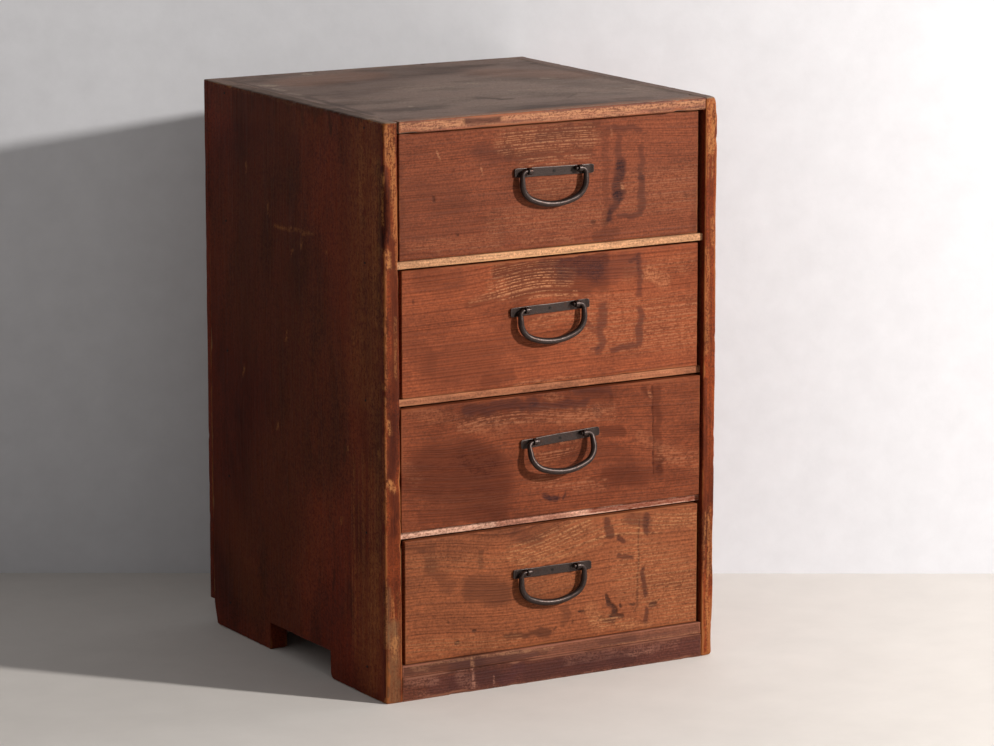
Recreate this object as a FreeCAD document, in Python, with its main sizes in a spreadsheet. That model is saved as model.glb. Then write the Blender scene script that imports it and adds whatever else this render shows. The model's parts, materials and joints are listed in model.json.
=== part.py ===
"""A small four-drawer chest: two side boards, a top, three shelves and a bottom board housed in them,
a plinth, back boards, and four nailed drawers with forged bail pulls.

Frame, in millimetres: X runs to the right of someone facing the drawers, Y away from them and Z up.
The origin is on the floor, at the centre of the footprint of everything, swung-out pulls included.
"""
import FreeCAD, Part

import math
import os

import Sketcher
from FreeCAD import Vector

DRAWERS = (1, 2, 3, 4)  # counted from the top

DIMENSIONS = {
    # carcass
    "chest_width": 398,
    "chest_depth": 400,
    "chest_height": 600,
    "side_thickness": 14.5,
    "top_thickness": 12.5,
    "shelf_thickness": 7.5,
    "bottom_thickness": 12.5,
    "back_thickness": 9,
    "plinth_height": 25,
    "plinth_thickness": 16,
    "bay_1_height": 131,  # clear heights; the fourth bay takes what is left
    "bay_2_height": 134.2,
    "bay_3_height": 130.8,
    "shelf_upper_recess": 5.1,  # shelf edges behind the front plane
    "shelf_middle_recess": 7.9,
    "shelf_lower_recess": 8.2,
    "bottom_recess": 1,
    "housing_depth": 5,  # how far boards are let into the sides
    "top_tongue": 6,  # thickness of the top board's tongue
    "housing_stop": 13,  # where the top's and bottom's housings stop behind the front plane
    "top_open_joint": 3.5,  # gap that has opened at the left end of the top board
    "bottom_open_joint": 5,  # the same at the bottom board and the plinth
    # feet
    "foot_height": 29,
    "front_foot_length": 120,
    "rear_foot_length": 134.5,
    "back_floor_gap": 27,  # back boards stop above the floor
    "rear_foot_wear": 7,  # slope worn off the rear foot below the back boards
    "back_board_gap": 0.8,
    # drawers
    "drawer_rear_room": 23,  # the drawers end this far short of the depth inside the back boards
    "front_thickness": 15,
    "front_lip": 7.5,  # thickness of the front where its ends and bottom edge lap the box
    "drawer_side_thickness": 8,
    "drawer_side_drop": 8,  # drawer sides and back stop below the top of the front
    "drawer_bottom_thickness": 6,
    "sliding_gap": 0.3,  # drawer bottom above the board that it slides on
    "drawer_1_top_gap": 1.1,  # between the drawer front and the board above it
    "drawer_2_top_gap": 2.3,
    "drawer_3_top_gap": 2.1,
    "drawer_4_top_gap": 2.1,
    "drawer_1_left_gap": 7.1,  # between the drawer and the left side board
    "drawer_2_left_gap": 9.5,
    "drawer_3_left_gap": 7.3,
    "drawer_4_left_gap": 8.6,
    "drawer_1_recess": 8,  # drawer front behind the front plane, as the drawer stands
    "drawer_2_recess": 7,
    "drawer_3_recess": 4,
    "drawer_4_recess": 4.6,
    "drawer_1_right_gap": 3.9,  # between the drawer and the right side board
    "drawer_2_right_gap": 4,
    "drawer_3_right_gap": 1.7,
    "drawer_4_right_gap": 3.4,
    # pulls: the plate's centre is measured from the middle of the chest and of the drawer's height
    "pull_1_offset": 4,
    "pull_2_offset": -1.2,
    "pull_3_offset": 9.6,
    "pull_4_offset": 0.9,
    "pull_1_rise": 14.5,
    "pull_2_rise": 13,
    "pull_3_rise": 15.6,
    "pull_4_rise": 14.7,
    "pull_1_slant": -1,  # degrees, right end up
    "pull_2_slant": 1.4,
    "pull_3_slant": 3.1,
    "pull_4_slant": -0.3,
    "eyes_1_shift": -1.5,  # middle of the two eyes from the plate's middle
    "eyes_2_shift": 0,
    "eyes_3_shift": -2.5,
    "eyes_4_shift": -1,
    "bail_1_shift": -0.5,  # each bail has slid this far along its eyes
    "bail_2_shift": 0.3,
    "bail_3_shift": 0.4,
    "bail_4_shift": -0.5,
    "bail_1_swing": 1,  # degrees out from hanging, as each bail stands
    "bail_2_swing": 4,
    "bail_3_swing": 16,
    "bail_4_swing": 0.5,
    "plate_length": 94.5,
    "plate_height": 9.4,
    "plate_thickness": 1.6,
    "plate_corner": 1.5,
    "eye_spacing": 60,
    "eye_width": 4.6,
    "eye_diameter": 7.6,
    "eye_rise": 1.6,  # eye centres above the plate's centre line
    "shank_thickness": 3.4,
    "shank_clearance": 0.15,
    "clinch_length": 11,
    "clinch_thickness": 1.5,
    "bail_width": 76,  # between the centre lines of the two arms
    "bail_drop": 35,  # from the pivot to the centre line at the bottom
    "bail_shoulder": 5,  # radius where the arms turn in to the eyes
    "bail_arm": 7,  # straight part of each arm
    "bail_haunch": 19,  # radius where the arms turn into the bottom
    "bail_wire": 6.9,  # at the bottom
    "bail_arm_wire": 6.5,  # halfway down the straight arms
    "bail_pin": 4,  # diameter of the ends that turn in the eyes
    "bail_pin_overrun": 2,  # how far the ends stand past the eyes
    "pin_clearance": 0.1,
    # nails
    "nail_diameter": 2.6,
    "nail_length": 34,
    "nail_head_rise": 0.25,
    "nail_end_margin": 40,  # from the ends of a joint to its first nail
    "small_nail_diameter": 1.8,
    "small_nail_length": 18,
    "small_nail_margin": 22,
    "plate_nail_diameter": 2.4,
    "plate_nail_length": 13,
}

doc = FreeCAD.newDocument("chest")
sheet = doc.addObject("Spreadsheet::Sheet", "Dims")
for row, (alias, value) in enumerate(DIMENSIONS.items(), start=1):
    sheet.set(f"A{row}", alias)
    sheet.set(f"B{row}", str(value))
    sheet.setAlias(f"B{row}", alias)
doc.recompute()

PARTS = []


# ---- sizes as expressions ----

def dim(name):
    """The sheet's value of that name, for use in an expression."""
    if name not in DIMENSIONS:
        raise KeyError(name)
    return f"Dims.{name}"


def total(*terms):
    """The sum of the terms, each an expression or a number."""
    return "(" + " + ".join(str(term) for term in terms) + ")"


def less(first, *terms):
    """The first term less all the others."""
    return "(" + " - ".join([str(first)] + [str(term) for term in terms]) + ")"


def minus(term):
    return f"(-1 * {term})"


def half(term):
    return f"({term} / 2)"


# ---- levels and planes of the carcass ----

HALF_WIDTH = half(dim("chest_width"))
INNER_FACE = less(HALF_WIDTH, dim("side_thickness"))
# The bail that swings out furthest ends this far in front of the carcass.
PIVOT_REACH = total(dim("plate_thickness"), half(dim("eye_diameter")))
HANDLE_REACH = less(
    total(PIVOT_REACH, f"{dim('bail_drop')} * sin({dim('bail_3_swing')})", half(dim("bail_wire"))),
    dim("drawer_3_recess"),
)
FRONT = half(less(HANDLE_REACH, dim("chest_depth")))
BACK = total(FRONT, dim("chest_depth"))
BACK_BOARDS = less(BACK, dim("back_thickness"))

TOP_UNDERSIDE = less(dim("chest_height"), dim("top_thickness"))
SHELF_LEVELS = {}
DRAWER_CEILINGS = {}
level = TOP_UNDERSIDE
for number, name in ((1, "upper"), (2, "middle"), (3, "lower")):
    DRAWER_CEILINGS[number] = level
    level = less(level, dim(f"bay_{number}_height"), dim("shelf_thickness"))
    SHELF_LEVELS[name] = level
DRAWER_CEILINGS[4] = level
DRAWER_FLOORS = {
    1: total(SHELF_LEVELS["upper"], dim("shelf_thickness")),
    2: total(SHELF_LEVELS["middle"], dim("shelf_thickness")),
    3: total(SHELF_LEVELS["lower"], dim("shelf_thickness")),
    4: total(dim("plinth_height"), dim("bottom_thickness")),
}
DRAWER_LENGTH = less(dim("chest_depth"), dim("back_thickness"), dim("drawer_rear_room"))
DRAWER_WIDTHS = {
    n: less(total(INNER_FACE, INNER_FACE), dim(f"drawer_{n}_left_gap"), dim(f"drawer_{n}_right_gap"))
    for n in DRAWERS
}
DRAWER_HEIGHTS = {
    n: less(DRAWER_CEILINGS[n], DRAWER_FLOORS[n], dim("sliding_gap"), dim(f"drawer_{n}_top_gap"))
    for n in DRAWERS
}


# ---- small builders ----

def bind(thing, prop, expression):
    """Ties a property to the sheet."""
    thing.setExpression(prop, str(expression))


def place(thing, x, y, z):
    """Ties an object's position to the sheet."""
    for axis, value in (("x", x), ("y", y), ("z", z)):
        bind(thing, f"Placement.Base.{axis}", value)


def place_turned(thing, x, y, z, pitch, roll="0"):
    """Ties position and turn: roll about X first, then pitch about Y, both in degrees."""
    bind(
        thing,
        "Placement",
        f"create(<<placement>>; create(<<vector>>; {x}; {y}; {z}); "
        f"create(<<rotation>>; 0; {pitch}; {roll}))",
    )


def new_body(label):
    """An empty body with its label, listed as a part."""
    body = doc.addObject("PartDesign::Body", label)
    body.Label = label
    PARTS.append(body)
    return body


def add_box(body, kind, name, corner, size):
    """An additive or subtractive box in a body's own frame."""
    box = body.newObject(f"PartDesign::{kind}Box", f"{body.Name}_{name}")
    for prop, value in zip(("Length", "Width", "Height"), size):
        bind(box, prop, value)
    place(box, *corner)


def board(label, corner, size, cuts=()):
    """A sawn board with square cuts; each cut is a name, its corner from the board's and its size."""
    body = new_body(label)
    add_box(body, "Additive", "blank", ("0", "0", "0"), size)
    for name, cut_corner, cut_size in cuts:
        add_box(body, "Subtractive", name, cut_corner, cut_size)
    place(body, *corner)
    return body


def sketch_on(body, role, name):
    """A sketch attached to one of the body's own origin planes."""
    sketch = body.newObject("Sketcher::SketchObject", f"{body.Name}_{name}")
    plane = next(p for p in body.Origin.OriginFeatures if p.Role == role)
    sketch.AttachmentSupport = (plane, [""])
    sketch.MapMode = "FlatFace"
    return sketch


def fix(sketch, kind, *where, value=None):
    """Adds a constraint; with a value, its size is bound to that expression."""
    if value is None:
        sketch.addConstraint(Sketcher.Constraint(kind, *where))
        return
    index = sketch.addConstraint(Sketcher.Constraint(kind, *where, evaluate(value)))
    bind(sketch, f"Constraints[{index}]", value)


def evaluate(expression):
    """The number that an expression gives now."""
    return float(sheet.evalExpression(str(expression)))


def polygon(sketch, corners):
    """A closed outline through the corners, each a pair of expressions from the sketch's origin."""
    points = [Vector(evaluate(x), evaluate(y), 0) for x, y in corners]
    count = len(points)
    for start in range(count):
        sketch.addGeometry(Part.LineSegment(points[start], points[(start + 1) % count]))
    for start in range(count):
        fix(sketch, "Coincident", start, 2, (start + 1) % count, 1)
    for start, (x, y) in enumerate(corners):
        fix(sketch, "DistanceX", -1, 1, start, 1, value=x)
        fix(sketch, "DistanceY", -1, 1, start, 1, value=y)


def circle(sketch, x, y, diameter):
    """A circle at a place given from the sketch's origin."""
    centre = Vector(evaluate(x), evaluate(y), 0)
    index = sketch.addGeometry(Part.Circle(centre, Vector(0, 0, 1), evaluate(diameter) / 2))
    fix(sketch, "DistanceX", -1, 1, index, 3, value=x)
    fix(sketch, "DistanceY", -1, 1, index, 3, value=y)
    fix(sketch, "Diameter", index, value=diameter)


def extrude(body, kind, sketch, length, name, midplane=False):
    """A pad or pocket of the sketch by a length."""
    feature = body.newObject(f"PartDesign::{kind}", f"{body.Name}_{name}")
    feature.Profile = sketch
    bind(feature, "Length", length)
    feature.Midplane = midplane
    return feature


# ---- carcass ----

def side_board(label, hand):
    """A side board; hand is -1 for the left and 1 for the right. Its grain runs up and down."""
    body = new_body(label)
    depth = less(dim("chest_depth"), dim("back_thickness"))
    outline = sketch_on(body, "YZ_Plane", "outline")
    rear_foot = less(depth, dim("rear_foot_length"))
    polygon(outline, (
        ("0", "0"),
        (dim("front_foot_length"), "0"),
        (dim("front_foot_length"), dim("foot_height")),
        (rear_foot, dim("foot_height")),
        (rear_foot, "0"),
        (less(depth, dim("rear_foot_wear")), "0"),
        (depth, dim("back_floor_gap")),
        (depth, dim("chest_height")),
        ("0", dim("chest_height")),
    ))
    extrude(body, "Pad", outline, dim("side_thickness"), "plank")
    inner = less(dim("side_thickness"), dim("housing_depth")) if hand < 0 else "0"
    stopped = dim("housing_stop")
    housings = [("top_groove", stopped, TOP_UNDERSIDE, dim("top_tongue")),
                ("bottom_housing", stopped, dim("plinth_height"), dim("bottom_thickness"))]
    for shelf, shelf_level in SHELF_LEVELS.items():
        housings.append((f"{shelf}_housing", dim(f"shelf_{shelf}_recess"), shelf_level,
                         dim("shelf_thickness")))
    for name, start, bottom, height in housings:
        size = (dim("housing_depth"), less(depth, start), height)
        add_box(body, "Subtractive", name, (inner, start, bottom), size)
    place(body, minus(HALF_WIDTH) if hand < 0 else INNER_FACE, FRONT, "0")
    return body


def housed_board(label, recess, bottom, thickness, cuts=()):
    """A board let into both sides, from its recess at the front to the back boards."""
    reach = total(INNER_FACE, dim("housing_depth"))
    size = (f"(2 * {reach})", less(dim("chest_depth"), dim("back_thickness"), recess), thickness)
    return board(label, (minus(reach), total(FRONT, recess), bottom), size, cuts)


def shoulders(recess, thickness, open_joint, lift="0"):
    """Square cuts that leave a housed board's stopped tongues: two at the front, and above the lift."""
    front = less(dim("housing_stop"), recess)
    length = f"(2 * {total(INNER_FACE, dim('housing_depth'))})"
    depth = less(dim("chest_depth"), dim("back_thickness"), recess)
    left = total(dim("housing_depth"), open_joint)
    right = less(length, dim("housing_depth"))
    cuts = [("left_notch", ("0", "0", "0"), (left, front, thickness)),
            ("right_notch", (right, "0", "0"), (dim("housing_depth"), front, thickness))]
    if lift != "0":
        over = less(thickness, lift)
        cuts.append(("left_rebate", ("0", "0", lift), (left, depth, over)))
        cuts.append(("right_rebate", (right, "0", lift), (dim("housing_depth"), depth, over)))
    return cuts


def carcass():
    side_board("side_left", -1)
    side_board("side_right", 1)
    housed_board("top_board", "0", TOP_UNDERSIDE, dim("top_thickness"),
                 shoulders("0", dim("top_thickness"), dim("top_open_joint"), dim("top_tongue")))
    for name, shelf_level in SHELF_LEVELS.items():
        housed_board(f"shelf_{name}", dim(f"shelf_{name}_recess"), shelf_level, dim("shelf_thickness"))
    housed_board("bottom_board", dim("bottom_recess"), dim("plinth_height"), dim("bottom_thickness"),
                 shoulders(dim("bottom_recess"), dim("bottom_thickness"), dim("bottom_open_joint")))
    board("plinth", (total(minus(INNER_FACE), dim("bottom_open_joint")), FRONT, "0"),
          (less(total(INNER_FACE, INNER_FACE), dim("bottom_open_joint")),
           dim("plinth_thickness"), dim("plinth_height")))
    width = f"(({dim('chest_width')} - 2 * {dim('back_board_gap')}) / 3)"
    for index, name in enumerate(("left", "middle", "right")):
        x = total(minus(HALF_WIDTH), f"{index} * {total(width, dim('back_board_gap'))}")
        board(f"back_board_{name}", (x, BACK_BOARDS, dim("back_floor_gap")),
              (width, dim("back_thickness"), less(dim("chest_height"), dim("back_floor_gap"))))


# ---- nails ----

TURNS = {"+X": (0, 90, 0), "-X": (0, -90, 0), "+Y": (0, 0, -90), "-Y": (0, 0, 90), "+Z": (0, 0, 0)}


def nail(name, head, way, diameter, length):
    """One nail, driven from its head's place along an axis."""
    shank = doc.addObject("Part::Cylinder", name)
    bind(shank, "Radius", half(diameter))
    bind(shank, "Height", total(length, dim("nail_head_rise")))
    start = list(head)
    axis = "XYZ".index(way[1])
    rise = dim("nail_head_rise")
    start[axis] = less(start[axis], rise) if way[0] == "+" else total(start[axis], rise)
    yaw, pitch, roll = TURNS[way]
    bind(
        shank,
        "Placement",
        f"create(<<placement>>; create(<<vector>>; {'; '.join(str(s) for s in start)}); "
        f"create(<<rotation>>; {yaw}; {pitch}; {roll}))",
    )
    return shank


def nail_group(label, nails):
    """Nails that share one node, each a solid of its own."""
    group = doc.addObject("Part::Compound", label)
    group.Label = label
    group.Links = nails
    PARTS.append(group)


def carcass_nails():
    """Two nails through each side into every board, and one in each back board at every level."""
    levels = {"top": total(TOP_UNDERSIDE, half(dim("top_tongue"))),
              "bottom": total(dim("plinth_height"), half(dim("bottom_thickness")))}
    for name, shelf_level in SHELF_LEVELS.items():
        levels[name] = total(shelf_level, half(dim("shelf_thickness")))
    rows = {"front": total(FRONT, dim("nail_end_margin")),
            "rear": less(BACK_BOARDS, dim("nail_end_margin"))}
    sizes = (dim("nail_diameter"), dim("nail_length"))
    for side, x, way in (("left", minus(HALF_WIDTH), "+X"), ("right", HALF_WIDTH, "-X")):
        nails = [nail(f"nail_{side}_{name}_{row}", (x, y, z), way, *sizes)
                 for name, z in levels.items() for row, y in rows.items()]
        if side == "right":
            plinth_middle = total(FRONT, half(dim("plinth_thickness")))
            nails.append(nail("nail_right_plinth",
                              (x, plinth_middle, half(dim("plinth_height"))), way, *sizes))
        nail_group(f"nails_{side}", nails)
    columns = {"left": minus(f"({dim('chest_width')} / 3)"), "middle": "0",
               "right": f"({dim('chest_width')} / 3)"}
    nail_group("nails_back", [
        nail(f"nail_back_{column}_{name}", (x, BACK, z), "-Y", *sizes)
        for column, x in columns.items() for name, z in levels.items()])


# ---- drawers ----

def drawer_box(n):
    """The five boards of one drawer. Returns its left end, face plane and lowest level."""
    width, height = DRAWER_WIDTHS[n], DRAWER_HEIGHTS[n]
    left = total(minus(INNER_FACE), dim(f"drawer_{n}_left_gap"))
    face = total(FRONT, dim(f"drawer_{n}_recess"))
    low = total(DRAWER_FLOORS[n], dim("sliding_gap"))
    wall, lip = dim("drawer_side_thickness"), dim("front_lip")
    thick, floor = dim("front_thickness"), dim("drawer_bottom_thickness")
    lap = less(thick, lip)
    front = board(f"drawer_{n}_front", (left, face, low), (width, thick, height), (
        ("left_rebate", ("0", lip, "0"), (wall, lap, height)),
        ("right_rebate", (less(width, wall), lip, "0"), (wall, lap, height)),
        ("bottom_rebate", ("0", lip, "0"), (width, lap, floor)),
    ))
    wall_height = less(height, floor, dim("drawer_side_drop"))
    box_start, box_length = total(face, lip), less(DRAWER_LENGTH, lip)
    for side, x in (("left", left), ("right", less(total(left, width), wall))):
        board(f"drawer_{n}_side_{side}", (x, box_start, total(low, floor)),
              (wall, box_length, wall_height))
    board(f"drawer_{n}_back",
          (total(left, wall), less(total(face, DRAWER_LENGTH), wall), total(low, floor)),
          (less(width, wall, wall), wall, wall_height))
    board(f"drawer_{n}_bottom", (left, box_start, low), (width, box_length, floor))
    return front, left, face, low


def pull_frame(n, face, low):
    """Where a pull's frame lies: its plate's centre on the drawer's face, and its slant."""
    level = total(low, half(DRAWER_HEIGHTS[n]), dim(f"pull_{n}_rise"))
    return dim(f"pull_{n}_offset"), face, level, minus(dim(f"pull_{n}_slant"))


def eye_offset(n, hand):
    """How far an eye's middle lies from the plate's middle, along the plate."""
    return total(dim(f"eyes_{n}_shift"), f"{hand} * {half(dim('eye_spacing'))}")


def shift_in_pull(frame, along, up):
    """A point of the pull's plane, in the chest's frame."""
    x, y, z, pitch = frame
    turned_x = f"({along} * cos({pitch}) + {up} * sin({pitch}))"
    turned_z = f"({up} * cos({pitch}) - {along} * sin({pitch}))"
    return total(x, turned_x), y, total(z, turned_z)


def shank_hole():
    """Diameter of the hole that an eye post's shank needs."""
    diagonal = f"sqrt({dim('eye_width')} ^ 2 + {dim('shank_thickness')} ^ 2)"
    return total(diagonal, f"2 * {dim('shank_clearance')}")


def bore_front(front, n, frame, left, face, low):
    """Bores the drawer front for the two eye posts."""
    holes = sketch_on(front, "XZ_Plane", "post_holes")
    for hand in (-1, 1):
        x, _, z = shift_in_pull(frame, eye_offset(n, hand), dim("eye_rise"))
        circle(holes, less(x, left), less(z, low), shank_hole())
    extrude(front, "Pocket", holes, dim("front_thickness"), "post_bores")


def pull_plate(n, frame):
    """The iron strap, with holes for the posts."""
    body = new_body(f"drawer_{n}_pull_plate")
    outline = sketch_on(body, "XZ_Plane", "strap")
    x, z = half(dim("plate_length")), half(dim("plate_height"))
    polygon(outline, ((minus(x), minus(z)), (x, minus(z)), (x, z), (minus(x), z)))
    for hand in (-1, 1):
        circle(outline, eye_offset(n, hand), dim("eye_rise"), shank_hole())
    strap = extrude(body, "Pad", outline, dim("plate_thickness"), "strap_pad")
    doc.recompute()
    corners = [f"Edge{i + 1}" for i, edge in enumerate(strap.Shape.Edges)
               if edge.Curve.TypeId == "Part::GeomLine" and abs(edge.tangentAt(0).y) > 0.99]
    rounded = body.newObject("PartDesign::Fillet", f"{body.Name}_corners")
    rounded.Base = (strap, corners)
    bind(rounded, "Radius", dim("plate_corner"))
    place_turned(body, *frame)


def eye_post(n, side, frame):
    """A split post: an eye in front of the plate, a shank through the front and clinched legs behind."""
    hand = -1 if side == "left" else 1
    body = new_body(f"drawer_{n}_eye_{side}")
    profile = sketch_on(body, "YZ_Plane", "profile")
    radius = half(dim("eye_diameter"))
    neck = half(dim("shank_thickness"))
    through = total(PIVOT_REACH, dim("front_thickness"))
    reach = total(through, dim("clinch_thickness"))
    leg = dim("clinch_length")
    outline = [(neck, minus(neck)), (through, minus(neck)), (through, minus(leg)), (reach, minus(leg)),
               (reach, leg), (through, leg), (through, neck), (neck, neck)]
    points = [Vector(evaluate(a), evaluate(b), 0) for a, b in outline]
    last = len(points) - 2
    for start in range(len(points) - 1):
        profile.addGeometry(Part.LineSegment(points[start], points[start + 1]))
        if start:
            fix(profile, "Coincident", start - 1, 2, start, 1)
            fix(profile, "DistanceX", -1, 1, start, 1, value=outline[start][0])
            fix(profile, "DistanceY", -1, 1, start, 1, value=outline[start][1])
    # The eye is an arc about the pivot that ends on the shank's two sides.
    size = evaluate(radius)
    opening = math.asin(evaluate(neck) / size)
    ring = Part.Circle(Vector(0, 0, 0), Vector(0, 0, 1), size)
    head = profile.addGeometry(Part.ArcOfCircle(ring, opening, 2 * math.pi - opening))
    fix(profile, "Coincident", head, 3, -1, 1)
    fix(profile, "Radius", head, value=radius)
    fix(profile, "Coincident", head, 1, last, 2)
    fix(profile, "Coincident", head, 2, 0, 1)
    fix(profile, "DistanceY", -1, 1, last, 2, value=neck)
    fix(profile, "DistanceY", -1, 1, 0, 1, value=minus(neck))
    circle(profile, "0", "0", total(dim("bail_pin"), f"2 * {dim('pin_clearance')}"))
    extrude(body, "Pad", profile, dim("eye_width"), "bar", midplane=True)
    x, y, z = shift_in_pull(frame, eye_offset(n, hand), dim("eye_rise"))
    place_turned(body, x, less(y, PIVOT_REACH), z, frame[3])


def bail(n, frame):
    """A forged D-shaped bail of round bar, drawn down at the ends, which turn inwards through the eyes."""
    body = new_body(f"drawer_{n}_bail")
    turn = less(half(dim("bail_width")), dim("bail_shoulder"))
    path = sketch_on(body, "XZ_Plane", "path")
    bail_path(path)
    across, arm_middle = half(dim("bail_width")), minus(total(dim("bail_shoulder"), half(dim("bail_arm"))))
    # Each section: its plane, that plane's place, the circle's middle on the plane and its diameter.
    rings = {"left": ("YZ_Plane", minus(turn), "0", "0", dim("bail_pin")),
             "left_arm": ("XY_Plane", arm_middle, minus(across), "0", dim("bail_arm_wire")),
             "middle": ("YZ_Plane", "0", "0", minus(dim("bail_drop")), dim("bail_wire")),
             "right_arm": ("XY_Plane", arm_middle, across, "0", dim("bail_arm_wire")),
             "right": ("YZ_Plane", turn, "0", "0", dim("bail_pin"))}
    sections = {}
    for name, (plane, offset, along, up, diameter) in rings.items():
        sections[name] = sketch_on(body, plane, f"{name}_section")
        bind(sections[name], "AttachmentOffset.Base.z", offset)
        circle(sections[name], along, up, diameter)
    doc.recompute()
    wire = body.newObject("PartDesign::AdditivePipe", f"{body.Name}_wire")
    wire.Profile = sections["left"]
    wire.Spine = path
    wire.Transformation = "Multisection"
    wire.Sections = [sections[name] for name in ("left_arm", "middle", "right_arm", "right")]
    tip = less(half(dim("eye_spacing")), half(dim("eye_width")), dim("bail_pin_overrun"))
    for side, x in (("left", minus(turn)), ("right", tip)):
        pin = body.newObject("PartDesign::AdditiveCylinder", f"{body.Name}_{side}_pin")
        bind(pin, "Radius", half(dim("bail_pin")))
        bind(pin, "Height", less(turn, tip))
        place_turned(pin, x, "0", "0", "90")
    middle = total(dim(f"eyes_{n}_shift"), dim(f"bail_{n}_shift"))
    x, y, z = shift_in_pull(frame, middle, dim("eye_rise"))
    place_turned(body, x, less(y, PIVOT_REACH), z, frame[3], minus(dim(f"bail_{n}_swing")))


def bail_path(path):
    """Centre line of the D: on each side a shoulder, a straight arm and a haunch, and the bottom arc."""
    half_width, shoulder, haunch = half(dim("bail_width")), dim("bail_shoulder"), dim("bail_haunch")
    turn, inset = less(half_width, shoulder), less(half_width, haunch)
    arm_end = total(shoulder, dim("bail_arm"))
    room = less(dim("bail_drop"), arm_end)
    # The bottom arc's radius is the one that meets both haunches smoothly.
    bottom = f"(({inset} ^ 2 + {room} ^ 2 - {haunch} ^ 2) / (2 * ({room} - {haunch})))"
    centre = less(bottom, dim("bail_drop"))
    meet = math.degrees(math.atan2(evaluate(total(centre, arm_end)), evaluate(inset)))

    def arc(x, z, radius, start, end):
        ring = Part.Circle(Vector(evaluate(x), evaluate(z), 0), Vector(0, 0, 1), evaluate(radius))
        index = path.addGeometry(Part.ArcOfCircle(ring, math.radians(start), math.radians(end)))
        fix(path, "Radius", index, value=radius)
        return index

    def straight(x, top, bottom_end):
        ends = [Vector(evaluate(x), evaluate(z), 0) for z in (top, bottom_end)]
        return path.addGeometry(Part.LineSegment(*ends))

    pieces = [arc(minus(turn), minus(shoulder), shoulder, 90, 180),
              straight(minus(half_width), minus(shoulder), minus(arm_end)),
              arc(minus(inset), minus(arm_end), haunch, 180, 180 + meet),
              arc("0", centre, bottom, 180 + meet, 360 - meet),
              arc(inset, minus(arm_end), haunch, 360 - meet, 360),
              straight(half_width, minus(arm_end), minus(shoulder)),
              arc(turn, minus(shoulder), shoulder, 0, 90)]
    for before, after in zip(pieces, pieces[1:]):
        fix(path, "Tangent", before, 2, after, 1)
    for piece, point, x, z in ((0, 1, minus(turn), "0"), (1, 1, minus(half_width), minus(shoulder)),
                               (6, 2, turn, "0"), (5, 2, half_width, minus(shoulder))):
        fix(path, "DistanceX", -1, 1, pieces[piece], point, value=x)
        fix(path, "DistanceY", -1, 1, pieces[piece], point, value=z)
    fix(path, "DistanceY", -1, 1, pieces[1], 2, value=minus(arm_end))


def drawer_nails(n, left, face, low, frame):
    """Nails through the sides into front and back, up through the bottom, and one in the plate."""
    right = total(left, DRAWER_WIDTHS[n])
    wall, margin = dim("drawer_side_thickness"), dim("small_nail_margin")
    sizes = (dim("small_nail_diameter"), dim("small_nail_length"))
    middle_of_lap = total(face, half(total(dim("front_lip"), dim("front_thickness"))))
    middle_of_back = less(total(face, DRAWER_LENGTH), half(wall))
    top = less(total(low, DRAWER_HEIGHTS[n]), dim("drawer_side_drop"), margin)
    bottom = total(low, dim("drawer_bottom_thickness"), margin)
    nails = []
    for side, x, way in (("left", left, "+X"), ("right", right, "-X")):
        for row, y in (("front", middle_of_lap), ("back", middle_of_back)):
            for place_name, z in (("top", top), ("bottom", bottom)):
                name = f"drawer_{n}_nail_{side}_{row}_{place_name}"
                nails.append(nail(name, (x, y, z), way, *sizes))
    sunk = total(low, f"2 * {dim('nail_head_rise')}")
    for side, x in (("left", total(left, half(wall))), ("right", less(right, half(wall)))):
        for row, y in (("front", total(face, dim("front_thickness"), margin)),
                       ("back", less(middle_of_back, margin))):
            nails.append(nail(f"drawer_{n}_nail_floor_{side}_{row}", (x, y, sunk), "+Z", *sizes))
    head = (frame[0], less(face, dim("plate_thickness")), frame[2])
    nails.append(nail(f"drawer_{n}_nail_plate", head, "+Y",
                      dim("plate_nail_diameter"), dim("plate_nail_length")))
    nail_group(f"drawer_{n}_nails", nails)


def drawers():
    for n in DRAWERS:
        front, left, face, low = drawer_box(n)
        frame = pull_frame(n, face, low)
        bore_front(front, n, frame, left, face, low)
        drawer_nails(n, left, face, low, frame)
        pull_plate(n, frame)
        for side in ("left", "right"):
            eye_post(n, side, frame)
        bail(n, frame)


carcass()
carcass_nails()
drawers()
doc.recompute()

for thing in doc.Objects:
    if {"Invalid", "Error"} & set(thing.State):
        raise RuntimeError(f"{thing.Name} failed: {thing.State}")
os.makedirs("parts", exist_ok=True)
for part in PARTS:
    if part.Shape.isNull() or not part.Shape.isValid():
        raise RuntimeError(f"{part.Label} has no valid shape")
    part.Shape.exportStep(f"parts/{part.Label}.step")
    box, solids = part.Shape.BoundBox, len(part.Shape.Solids)
    print(f"{part.Label:24s} {solids} solid(s) {part.Shape.Volume / 1000:9.2f} cm3 "
          f"x {box.XMin:7.1f} {box.XMax:7.1f}  y {box.YMin:7.1f} {box.YMax:7.1f}  "
          f"z {box.ZMin:7.1f} {box.ZMax:7.1f}")
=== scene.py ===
"""Finish of the four-drawer chest: worn, stained softwood boards and forged iron pulls.

Lengths in the tables and in the shape functions are millimetres in the chest's frame (X to the right of
someone facing the drawers, Y away from them, Z up); they turn to metres when a mesh is made.
"""

import json
import math
from collections import namedtuple
from functools import partial

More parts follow.
